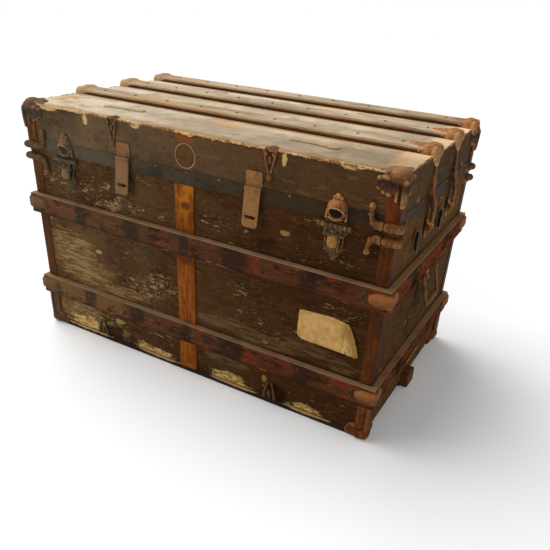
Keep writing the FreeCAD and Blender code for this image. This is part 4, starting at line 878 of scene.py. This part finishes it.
def copies(shape, *places):
    """The shape at each place: a matrix for each copy, the first one too."""
    first = shape.copy()
    shape.clear()
    for place in places:
        one = first.copy()
        bmesh.ops.transform(one, matrix=place, verts=one.verts)
        if place.determinant() < 0:
            bmesh.ops.reverse_faces(one, faces=one.faces)
        add(shape, one)
    first.free()
    return shape


STAY = Matrix.Identity(4)
FLIP_X = Matrix.Diagonal((-1, 1, 1, 1))
FLIP_Y = Matrix.Diagonal((1, -1, 1, 1))
ENDS = (STAY, FLIP_X)
CORNERS = (STAY, FLIP_X, FLIP_Y, FLIP_X @ FLIP_Y)


def keep_shallow(shape, top=None):
    """Press what lies deep in the boards back to SHALLOW, so nothing shows inside."""
    for vert in shape.verts:
        under = [TRUNK_X - vert.co.x, vert.co.y + TRUNK_Y]
        if top is not None:
            under.append(top - vert.co.z)
        least = min(under)
        if least > SHALLOW:
            side = under.index(least)
            vert.co[side] = (TRUNK_X - SHALLOW, SHALLOW - TRUNK_Y, LID_TOP - SHALLOW)[side]


def both_ways(lumps):
    """Lumps given out from the front right corner, and the same on the end side."""
    return lumps + [((v, u, z), (b, a, c)) for (u, v, z), (a, b, c) in lumps]


def corner_lumps(shape, lumps, base_z):
    """Lumps placed by how far they stand out of the end and the front, and by height."""
    for (u, v, z), reach in lumps:
        lump(shape, (END + u, FRONT - v, base_z + z), reach)


def corner_run(shape, path, out=(0, -1, 0), knots=True):
    """A bar whose points are placed as the corner's lumps are."""
    run(shape, [(END + u, FRONT - v, *rest) for u, v, *rest in path], out, knots)


def knobbed_caps():
    """Pressed caps at the slat corners: a drop swelling to a round knob, three beads at its tail."""
    shape = bmesh.new()
    side = [((-8, 6, 1), (22, 13, 17)), ((-19, 8, 0.5), (14, 9, 14)), ((-8, 9, 9), (15, 8, 8))]
    corner_lumps(shape, both_ways(side) + [((2, 2, 1.5), (18.6, 18.6, 17))], 0)
    slab(shape, (441, -271.5, -13), (468.5, -244, 17.5), 7)
    shape = cast(shape, 1.2, 4)
    keep_shallow(shape)
    places = [Matrix.Translation((0, 0, low + SLAT_TALL / 2)) @ corner for low in SLAT_LOWS for corner in CORNERS]
    shape = copies(shape, *places)
    settle(shape, "knobbed_slat_caps", "rust_cap", "base", "rust_iron", "slat_corner_caps")
    beads = bmesh.new()
    corner_lumps(beads, both_ways([((-37, 12.6, 9), (5, 3.4, 5)), ((-43.5, 12.6, 1), (4.6, 3.2, 5)),
                                   ((-37, 12.6, -7), (4.6, 3.2, 4.6)), ((-34, 12, 1), (6, 2.8, 11))]), 0)
    beads = copies(cast(beads, 0.9, 2), *places)
    settle(beads, "slat_cap_beads", "rust_dark", "base", "rust_iron")


def lid_corners():
    """Domed lid caps with a leaf down the front and the end and a ridge on the corner."""
    shape = bmesh.new()
    leaf = [((-28, 0.4, -20), (20, 5, 17)), ((-18, 1, -24), (12, 5, 14)), ((-29, 2, -9), (12, 6, 5.4)),
            ((-42, 1, -12), (7, 5, 5)), ((-47, 0.6, -20), (5, 4.4, 4.6)), ((-43, 0.6, -28), (5.4, 4.6, 4.8)),
            ((-34, 0.8, -34), (5.4, 4.8, 4.8)), ((-24, 1.4, -36), (6, 5, 5)), ((-13, 2, -25), (5.4, 5.8, 12)),
            ((-34, 1.8, -20), (7, 4.8, 5)), ((-32, -9, 0), (17, 10, 4)), ((-46, -6, -1), (8, 6, 3.5))]
    crown = [((-12, -12, -8), (21, 21, 17.5)), ((-3, -3, -10), (11, 11, 12)), ((-24, -24, -2), (18, 18, 7))]
    corner_lumps(shape, both_ways(leaf) + crown, TOP)
    run(shape, [(453, -256, 556, 6.2), (453.5, -256.5, 536, 5.4), (453, -256, 516, 4.4)])
    for u, v in ((441, -257.2), (454.2, -244)):
        run(shape, [(u, v, 552, 4.4), (u, v, 538, 4), (u, v, 524, 3)])
    slab(shape, (436, -255.2, 512), (454, -250, 548), 1)
    slab(shape, (447, -255.2, 512), (455.2, -238, 548), 1)
    shape = cast(shape, 1.3, 4)
    keep_shallow(shape, LID_TOP)
    shape = copies(shape, *CORNERS)
    settle(shape, "leafed_lid_corners", "rust_lid", "lid", "rust_iron", "lid_corner_caps")


def lid_end_humps():
    """Rounded caps over the lid slats' ends, with a flat tail and a drop down the end."""
    shape = bmesh.new()
    for front in (-94.875, 61.985, 201.0):
        middle = front + 26
        for (u, across, z), reach in [((-14, -14, 571), (19, 15.5, 15)), ((-14, 14, 571), (19, 15.5, 15)),
                                      ((-14, 0, 571.5), (19, 18, 16)), ((-2.5, -16, 570), (8.5, 14.5, 14.5)),
                                      ((-2.5, 16, 570), (8.5, 14.5, 14.5)), ((-30, 0, 574), (18, 27, 9.5)),
                                      ((-45, 0, 577), (13, 16, 6)), ((-56, 0, 578), (6, 7, 4.6)),
                                      ((0, 0, 561), (5.5, 19, 13)), ((0.5, 0, 551), (5, 8, 8))]:
            lump(shape, (END + u, middle + across, z), reach)
    shape = cast(shape, 1.4, 4)
    trim(shape, "y", high=262)
    keep_shallow(shape, LID_TOP)
    shape = copies(shape, *ENDS)
    settle(shape, "humped_slat_end_caps", "rust_pale", "lid", "rust_iron", "lid_slat_caps")


def foot_corners():
    """Caps on the bottom corners: a leaf each way, a post and a rounded foot."""
    shape = bmesh.new()
    side = [((-22, 1, 19), (19, 5.4, 17)), ((-36, 0, 13), (9, 4.8, 11)), ((-12, 3, 12), (13, 6, 11)),
            ((-24, 2.4, 29), (8, 4.4, 7))]
    corner_lumps(shape, both_ways(side) + [((-2, -2, 15), (13, 13, 14.6))], 0)
    slab(shape, (430, -257.6, 14), (456.5, -250, 92), 2.2)
    slab(shape, (447, -257.6, 14), (457.6, -230, 92), 2.2)
    run(shape, [(453, -256, 20, 5), (453.4, -256.4, 60, 4.6), (453, -256, 88, 4.6)])
    shape = cast(shape, 1.4, 3)
    trim(shape, "z", 0.5, 90.4)
    keep_shallow(shape)
    shape = copies(shape, *CORNERS)
    settle(shape, "leafed_foot_corners", "rust_foot", "base", "rust_iron", "bottom_corner_caps")


def corner_clasps():
    """Clamps each side of the parting: a thick rolled bar round the corner and a balled arm."""
    for name, node, body, way, near in (("lid_corner_clasps", "lid_corner_clamps", "lid", 1, 10.0),
                                        ("base_corner_clasps", "base_corner_clamps", "base", -1, 16.0)):
        shape = bmesh.new()
        z = PARTING + way * near
        tip = PARTING + way * 43
        corner_run(shape, [(-48, 4.5, tip, 6.2), (-48, 3.5, tip - way * 10, 4.4), (-47, 3.5, z + way * 13, 5),
                           (-43, 4, z + way * 4, 7), (-34, 4.5, z, 8)])
        corner_run(shape, [(-34, 4.2, z, 8, 7.4), (-28, 4.8, z, 8.6, 8.6), (-25, 4.8, z, 8.2, 8),
                           (-22, 3.6, z, 5.4, 5.2), (-19, 4.8, z, 8.2, 8), (-14, 5.4, z, 8.8, 9),
                           (-6, 5.4, z, 8.8, 9), (2, 3.5, z, 8.6, 8.2)], knots=False)
        corner_run(shape, [(2, 4, z, 8.6), (3, -4, z, 8.2), (2.5, -12, z, 6.6), (2.5, -20, z, 7.6),
                           (1.5, -28, z, 6.8), (1, -37, z, 4.6)], (1, 0, 0))
        lump(shape, (454, -257, z), (10.5, 10.5, 8.4))
        slab(shape, (END - 36, -254.5, z - 8), (451.5, -250, z + 8), 0.6)
        slab(shape, (448, -254.5, z - 8.4), (451.5, FRONT + 40, z + 8.4), 0.6)
        shape = cast(shape, 1.1, 3)
        keep_shallow(shape)
        trim(shape, "z", *sorted((PARTING + way * 1.2, PARTING + way * 60)))
        shape = copies(shape, *CORNERS)
        trim(shape, "y", high=264.2)  # the rear ones turn past each other when the lid opens
        settle(shape, name, "clasp", body, "rust_iron", node)


def edge_clips():
    """Waisted clips hooked over the lid's front edge and under the bottom."""
    outline = [(0, 14.5), (8, 12.5), (16, 9), (26, 7.6), (36, 4.8), (41, 4), (46, 6.4), (50, 6.6), (54, 3)]

    def clip(shape, place, out, z, way, reach=1.0):
        run(shape, [(*place, z - way * down * reach, half, 3.2) for down, half in outline], out, knots=False)

    shape = bmesh.new()
    for x in (-191.2, 193.0):
        clip(shape, (x, FRONT), (0, -1, 0), 565, 1)
        for back in (0, 6, 12):
            lump(shape, (x, -251.5 + back, TOP), (14.5 - back * 0.4, 6, 3.2), steps=14)
        for side in (-1, 1):
            run(shape, [(x + side * 11.5, -255, 566, 3.4), (x + side * 9.4, -255.6, 552, 2.6),
                        (x + side * 6.4, -255.6, 540, 2.2), (x + side * 2.6, -255.4, 526, 1.8)])
            lump(shape, (x + side * 9, -256, 560), (4.4, 4, 4.4), steps=12)
        lump(shape, (x, -256, 550), (3.4, 3.4, 7), steps=12)
        lump(shape, (x, -256, 517), (6, 4.6, 6), steps=12)
    settle(cast(shape, 0.9, 2), "lid_edge_clips", "rust", "lid", "rust_iron", "lid_front_clips")

    shape = bmesh.new()
    for x in (-275.9, 219.2):
        clip(shape, (x, FRONT), (0, -1, 0), 18, -1, 1.1)
        for side in (-1, 1):
            run(shape, [(x + side * 14, -255, 18, 4.4), (x + side * 11, -256, 34, 3.4), (x + side * 5, -256, 56, 2.6)])
        lump(shape, (x, -256.5, 27), (6, 4.2, 9), steps=12)
    shape = copies(cast(shape, 1.1, 2), STAY, FLIP_Y)
    ends = bmesh.new()
    for y in (-120.2, 60.0, 179.6):
        clip(ends, (END, y), (1, 0, 0), 18, -1, 0.95)
    add(shape, copies(cast(ends, 1.1, 3), *ENDS))
    settle(shape, "bottom_clips", "rust_dark", "base", "rust_iron", "bottom_edge_clips")


LATCH_XS = (("left", -336.0), ("right", 336.0))


def at_latches(shape):
    return copies(shape, *[Matrix.Translation((x * MM, 0, 0)) for _, x in LATCH_XS])


def latch_hoods():
    """The half domes on the lid, open in front, with a crest above and cheeks down to the parting."""
    shape = bmesh.new()
    lump(shape, (0, -252, 488), (20.5, 18, 19.5), steps=32)
    lump(shape, (0, -252, 480), (19.5, 14, 14), steps=32)
    hood = cast(shape, 0.9, 1)
    room = bmesh.new()
    lump(room, (0, -273, 480.5), (15.6, 20.5, 10.5), steps=32)
    room = cast(room, 0.9, 0)
    shape = add(bmesh.new(), hollowed(hood, room))
    run(shape, [(-14, -261, 470.5, 1.6), (0, -264.5, 468.8, 1.7), (14, -261, 470.5, 1.6)])
    run(shape, [(-17, -260, 480, 1.8), (-14.5, -264, 487, 2), (-8, -268, 491.4, 2.2), (0, -269.6, 492.8, 2.3),
                (8, -268, 491.4, 2.2), (14.5, -264, 487, 2), (17, -260, 480, 1.8)])
    lump(shape, (0, -256.5, 511), (6.2, 5, 6))
    for side in (-1, 1):
        lump(shape, (side * 6, -255.5, 508), (4.4, 4, 4))
        run(shape, [(side * 19, -257, 482, 2.2), (side * 19.6, -257, 474, 2.4), (side * 19.2, -257, 468.5, 2.8)])
    shape = cast(shape, 0.9, 1)
    trim(shape, "z", 467)
    trim(shape, "y", high=-252.6)
    settle(at_latches(shape), "latch_hoods", "brass", "lid", "latch_brass", "latch_catches")
    # a near-black lump inside each hood's opening: painted shade
    dark = bmesh.new()
    lump(dark, (0, -257, 480.3), (15, 7, 10.4), steps=28)
    trim(dark, "z", 467.6)
    settle(at_latches(dark), "latch_hood_shade", "hollow_shade", "lid", "latch_brass")


def latch_backs():
    """The scalloped plates on the base with side rails and ears for the lever's pin."""
    shape = bmesh.new()
    slab(shape, (-22, -255.4, 442), (22, -252.6, 463.2), 0.5)
    for (x, z), (a, c) in [((-16, 447), (9, 12)), ((16, 447), (9, 12)), ((0, 425), (20, 20)), ((0, 404), (12.5, 13)),
                           ((0, 393), (6, 7.5)), ((-13, 413), (6, 9)), ((13, 413), (6, 9))]:
        lump(shape, (x, FRONT, z), (a, 3, c))
    for side in (-1, 1):
        run(shape, [(side * 18.5, -256, 452, 2.3), (side * 18, -256.5, 436, 2.1), (side * 16, -256, 418, 2.4)])
        run(shape, [(side * 21.5, -262.5, 457, 4.8), (side * 26, -262, 457, 3.8), (side * 30.5, -261.5, 457, 5.2)])
        lump(shape, (side * 27.6, -256.5, 455), (7.2, 6, 7.2))
        lump(shape, (side * 24, -259, 456), (5.5, 5, 6))
    shape = cast(shape, 0.9, 2)
    trim(shape, "z", high=463.2)
    trim(shape, "y", high=-252.4)
    for vert in shape.verts:  # room for the lever's roll
        if abs(vert.co.x) < 20 * MM and vert.co.z > 450 * MM:
            vert.co.y = max(vert.co.y, -256.2 * MM)
    settle(at_latches(shape), "latch_backplates", "brass_dark", "base", "latch_brass", "latch_plates")


def latch_levers():
    """Scrolled levers on their pins, each with a rubbed gold tongue between two rails."""
    for side_name, x0 in LATCH_XS:
        shape = bmesh.new()
        run(shape, [(x0 - 18.5, -263, 457, 4.2), (x0 + 18.5, -263, 457, 4.2)])
        for dx in (-15.5, -5, 5, 15.5):
            lump(shape, (x0 + dx, -263.6, 457), (2.8, 5.4, 5.2), steps=14)
        slab(shape, (x0 - 13, -264.2, 416), (x0 + 13, -261.6, 455), 0.6)
        for side in (-1, 1):
            ring(shape, (x0 + side * 10, -265.2, 447.6), 4.4, 1.8)
            run(shape, [(x0 + side * 16.5, -264.5, 452, 2.2), (x0 + side * 15.5, -265, 441, 2.6)])
            run(shape, [(x0 + side * 14, -265.2, 439, 2.2), (x0 + side * 13.4, -265.6, 425, 1.9),
                        (x0 + side * 12.4, -265, 411, 2.1)])
            lump(shape, (x0 + side * 17.5, -265, 440.6), (3.2, 3.2, 3.2), steps=14)
            lump(shape, (x0 + side * 14, -265.4, 432), (2.6, 2.6, 3.4), steps=12)
        lump(shape, (x0, -266, 447.6), (4.4, 3.4, 4.8), steps=14)
        run(shape, [(x0 - 16, -266, 440.4, 2.7), (x0 + 16, -266, 440.4, 2.7)])
        for dx in (-7, -2.4, 2.4, 7):
            run(shape, [(x0 + dx, -265.4, 415.5, 2.2), (x0 + dx * 0.9, -265.8, 408, 1.7)])
        shape = cast(shape, 0.8, 1)
        node = side_name + "_latch_lever"
        settle(shape, side_name + "_latch_scrolls", "brass_dark", node, "latch_brass", node)
        tongue = bmesh.new()
        lump(tongue, (x0, -264.6, 427.4), (11.4, 5.6, 13), steps=24)
        slab(tongue, (x0 - 10.4, -266.6, 417), (x0 + 10.4, -263.2, 438), 1.6)
        tongue = cast(tongue, 0.8, 3)
        settle(tongue, side_name + "_latch_tongue", "gold", node, "latch_brass")


def hasps():
    """Hinged hasps: a plate on the lid, a rolled knuckle and a long slotted strap."""
    plates = bmesh.new()
    for side_name, x0 in (("left", -165.15), ("right", 160.2)):
        plate(plates, (x0 - 18, -255.8, 489), (x0 + 18, -253.1, 523), [(-1, 1, 3), (1, 1, 3)])
        for low_x, high_x in ((-18, -6.6), (6.6, 18)):
            barrel(plates, x0 + low_x, x0 + high_x, -258.2, 490, 3.7)
        for dx, z in ((-10, 500), (10, 500), (0, 514)):
            lump(plates, (x0 + dx, -255.6, z), (2.6, 1.5, 2.6), steps=12)
        strap = bmesh.new()
        plate(strap, (-17.6, -1.3, -75), (17.6, 1.3, -2.5), [(-1, -1, 8), (1, -1, 8)])
        slot = bmesh.new()
        slab(slot, (-12, -8, -58.5), (12, 8, -51.5), 2.2)
        strap = hollowed(strap, slot)
        for vert in strap.verts:
            vert.co += Vector((x0 * MM, -259.4 * MM + vert.co.z * 0.1253, 490 * MM))
        barrel(strap, x0 - 6, x0 + 6, -258.2, 490, 3.7)
        node = side_name + "_hasp_strap"
        settle(strap, side_name + "_slotted_strap", "hasp", node, "hasp_iron", node)
    settle(plates, "hasp_lid_plates", "hasp_dark", "lid", "hasp_iron", "hasp_plates")


def front_disc():
    """A thin pale ring round a brown field."""
    shape = bmesh.new()
    ring(shape, (-2, -253.6, 523), 24.4, 1.5, 1.2)
    shape = cast(shape, 0.7, 1)
    settle(shape, "disc_rim", "ring_pale", "lid", "rust_iron", "lid_front_disc")
    field = bmesh.new()
    lump(field, (-2, -252.9, 523), (24, 0.6, 24), steps=40)
    settle(field, "disc_field", "disc_field", "lid", "rust_iron")


def paper():
    """The torn label: thin paper, creased, its torn end curling off the canvas."""
    shares = ((0.02, 0.94), (0.08, 0.96), (0.5, 1), (0.73, 0.97), (0.8, 0.95), (0.85, 0.84), (0.91, 0.6), (0.96, 0.35),
              (1, 0.07), (0.98, 0), (0.73, 0), (0.47, 0.02), (0.08, 0.03), (0.03, 0.09), (0, 0.16), (0.01, 0.83))
    shape = bmesh.new()
    left, low, wide, tall, cell = 0.275, 0.19307, 0.139, 0.074, 0.004
    shape.faces.new([shape.verts.new((left + a * wide, 0, low + b * tall)) for a, b in shares])
    cuts = [((left + step * cell, 0, 0), (1, 0, 0)) for step in range(1, 35)]
    cuts += [((0, 0, 0.193 + step * cell), (0, 0, 1)) for step in range(1, 19)]
    for place, facing in cuts:
        bmesh.ops.bisect_plane(shape, geom=shape.verts[:] + shape.edges[:] + shape.faces[:],
                               plane_co=place, plane_no=facing)
    for vert in shape.verts:
        along = (vert.co.x - left) / wide
        slope = vert.co.x + 0.36 * vert.co.z
        lift = 0.25 + 0.2 * math.sin(vert.co.x * 300 + vert.co.z * 90) + 0.2 * math.sin(vert.co.z * 260)
        curl = max(0.0, (slope - 0.452) / 0.026)
        pleat = math.exp(-((slope - 0.462) / 0.004) ** 2) * 1.6 + math.exp(-((slope - 0.474) / 0.003) ** 2) * 1.1
        vert.co.y = -0.2536 - (max(lift, 0) * 0.6 + 2.2 * curl ** 1.5 + pleat * min(1.0, along * 1.2)) * MM
    bmesh.ops.recalc_face_normals(shape, faces=shape.faces)
    bmesh.ops.solidify(shape, geom=shape.faces[:], thickness=0.3 * MM)
    bmesh.ops.recalc_face_normals(shape, faces=shape.faces)
    settle(shape, "torn_bare_label", "label", "base", "label_paper", "paper_label")


def top_plates():
    """Low plates on the lid: two round ends and a narrower waist."""
    shape = bmesh.new()
    for side in (-1, 1):
        for (x, y), (a, b) in [((0, 0), (34, 9)), ((-40, 4), (15, 13)), ((40, -4), (15, 13)), ((-22, 2), (16, 9)),
                               ((22, -2), (16, 9))]:
            lump(shape, (237 + x, side * 162.9 + y, 569.4), (a, b, 2.4), steps=24)
    shape = cast(shape, 1.0, 1)
    trim(shape, "z", 568.6, 571.4)
    settle(copies(shape, *ENDS), "waisted_top_plates", "plate", "lid", "rust_iron", "lid_top_plates")


def end_fittings():
    """Hooked sockets, oval bumpers and the leaves behind the handles, on both ends."""
    sockets = (-62.0, 92.0)
    shape = bmesh.new()
    for middle in sockets:
        run(shape, [(451, middle + 8, 404, 4.6), (455, middle + 7, 414, 6), (460, middle + 4, 424, 7),
                    (461, middle - 3, 432, 6), (457, middle - 11, 435, 4), (455, middle - 15, 441, 2.6)], (1, 0, 0))
        lump(shape, (451.5, middle + 4, 412), (3, 11, 16))
    shape = cast(shape, 1.0, 2)
    trim(shape, "x", 449)
    settle(copies(shape, *ENDS), "hooked_end_sockets", "socket", "base", "strap_iron", "end_sockets")
    # a near-black lump in each hook's gap: painted shade
    dark = bmesh.new()
    for middle in sockets:
        lump(dark, (451, middle - 9, 424), (2.4, 8, 20))
    settle(copies(dark, *ENDS), "socket_gap_shade", "hollow_shade", "base", "strap_iron")
    shape = bmesh.new()
    for (y, z), (b, c) in [((8, 301), (22, 8)), ((8, 290), (12, 14)), ((8, 274), (5, 9)), ((-9, 296), (9, 8)),
                           ((25, 296), (9, 8)), ((8, 306), (7, 5))]:
        lump(shape, (451, y, z), (4, b, c))
    lump(shape, (454, 8, 297), (5, 7, 8))
    shape = cast(shape, 1.0, 2)
    trim(shape, "x", 449)
    trim(shape, "z", high=311)
    settle(copies(shape, *ENDS), "handle_leaves", "handle_leaf", "base", "rust_iron")
    shape = bmesh.new()
    for middle in (-131.0, 26.0):
        for out, thick in ((452.5, 3), (461, 2.4)):
            lump(shape, (out, middle, 413), (thick, 11, 24), steps=28)
        lump(shape, (456, middle, 413), (8, 7, 19), steps=20)
    shape = cast(shape, 0.9, 1)
    trim(shape, "x", 449)
    settle(copies(shape, *ENDS), "oval_end_bumpers", "bumper", "base", "rust_iron", "end_bumpers")


def frayed_edges():
    """The rolled, frayed cloth along the lid's upper edges."""
    shape = bmesh.new()

    def fray(start, end, inset):
        (x0, y0), (x1, y1) = start, end
        count = max(4, int(math.dist(start, end) / 2.2))
        points = []
        for step in range(count + 1):
            t = step / count
            wave = sum(math.sin(step * pace + x0) for pace in (0.83, 0.37, 1.91, 0.11, 1.27))
            radius = min(3.6, max(0.9, 1.9 + 0.62 * wave)) * min(1.0, 4 * t + 0.3, 4 * (1 - t) + 0.3)
            points.append((x0 + (x1 - x0) * t, y0 + (y1 - y0) * t, 568.4 - inset - 0.2 * radius, radius, radius * 0.8))
        out = (0, -1, 0) if x0 != x1 else (1, 0, 0)
        run(shape, points, out, knots=False, sides=8)

    for low, high in ((-402, -208), (-175, 176), (210, 402)):
        fray((low, -252.4), (high, -252.4), 0)
    fray((-402, 252.2), (402, 252.2), 0.6)
    for x in (-449.4, 449.4):
        for low, high in ((-205, -97), (-40, 60), (116, 199)):
            fray((x, low), (x, high), 0.4)
    settle(shape, "frayed_lid_edge", "fray", "lid", "painted_canvas")


for piece in (knobbed_caps, lid_corners, lid_end_humps, foot_corners, corner_clasps, edge_clips, latch_hoods,
              latch_backs, latch_levers, hasps, front_disc, paper, top_plates, end_fittings, frayed_edges):
    piece()


# ---------------------------------------------------------------- the room

FLOOR_GLOW = 0.08
FLOOR_PALE = 0.9
SKY_LIGHT = 0.44


def studio_floor():
    """A pale floor that takes the shadow, and glows a little so that it reads as white."""
    shape = bmesh.new()
    bmesh.ops.create_grid(shape, x_segments=1, y_segments=1, size=9.0)
    mesh = bpy.data.meshes.new("studio_floor")
    shape.to_mesh(mesh)
    shape.free()
    f = Finish("pale_floor", 1.0, 0.0, 0.0)
    f.join((FLOOR_PALE, FLOOR_PALE, FLOOR_PALE, 1.0), f.shader.inputs["Base Color"])
    glow = f.made("Emission", {"Strength": f.times(f.seen_by("Is Camera Ray", "Is Glossy Ray"), FLOOR_GLOW)})
    both = f.made("AddShader", {0: f.shader.outputs[0], 1: glow})
    f.join(both, f.tree.nodes["Material Output"].inputs["Surface"])
    mesh.materials.append(f.material)
    placed("studio_floor", mesh)


def studio_sky():
    """Dim white light from all round, with a plain white background behind it."""
    world = bpy.data.worlds.new("pale_room")
    bpy.context.scene.world = world
    world.use_nodes = True
    n = Nodes(world.node_tree)
    sky = n.tree.nodes["Background"]
    sky.inputs["Color"].default_value = (1, 1, 1, 1)
    seen = n.seen_by("Is Camera Ray", "Is Transmission Ray")
    n.join(n.made("MapRange", {"Value": seen, "To Min": SKY_LIGHT, "To Max": 1.0}), sky.inputs["Strength"])


def lamp(name, place, target, size, power):
    """A round lamp at a place, turned to a target."""
    light = bpy.data.lights.new(name, "AREA")
    light.shape = "DISK"
    light.size = size
    light.energy = power
    holder = placed(name, light)
    holder.location = place
    holder.rotation_euler = (Vector(target) - Vector(place)).to_track_quat("-Z", "Y").to_euler()


def sun(name, towards, spread, power):
    """Even light from far off; its spread in degrees softens the shadow."""
    light = bpy.data.lights.new(name, "SUN")
    light.angle = math.radians(spread)
    light.energy = power
    placed(name, light).rotation_euler = Vector(towards).to_track_quat("Z", "Y").to_euler()


def camera():
    """The photo's camera, as its place, turn and lens were worked out."""
    right = Vector((0.86718, 0.4955, 0.04984))
    up = Vector((-0.28846, 0.4182, 0.86133))
    back = Vector((0.40595, -0.76131, 0.50559))
    view = bpy.data.cameras.new("photo_camera")
    view.sensor_width = 36.0
    view.lens = 39.07
    view.shift_x = 0.004
    view.shift_y = 0.0923
    view.clip_end = 50.0
    holder = placed("photo_camera", view)
    turn = Matrix((right, up, back)).transposed().to_4x4()
    holder.matrix_world = Matrix.Translation((0.7302, -1.2148, 0.8419)) @ turn
    bpy.context.scene.camera = holder


studio_floor()
studio_sky()
sun("window_light", (-0.55, 0.1, 0.83), 50.0, 2.35)
lamp("room_fill", (-1.5, -1.9, 1.1), (-0.1, -0.25, 0.3), 1.2, 12.0)
camera()

bpy.context.scene.view_settings.view_transform = "Standard"
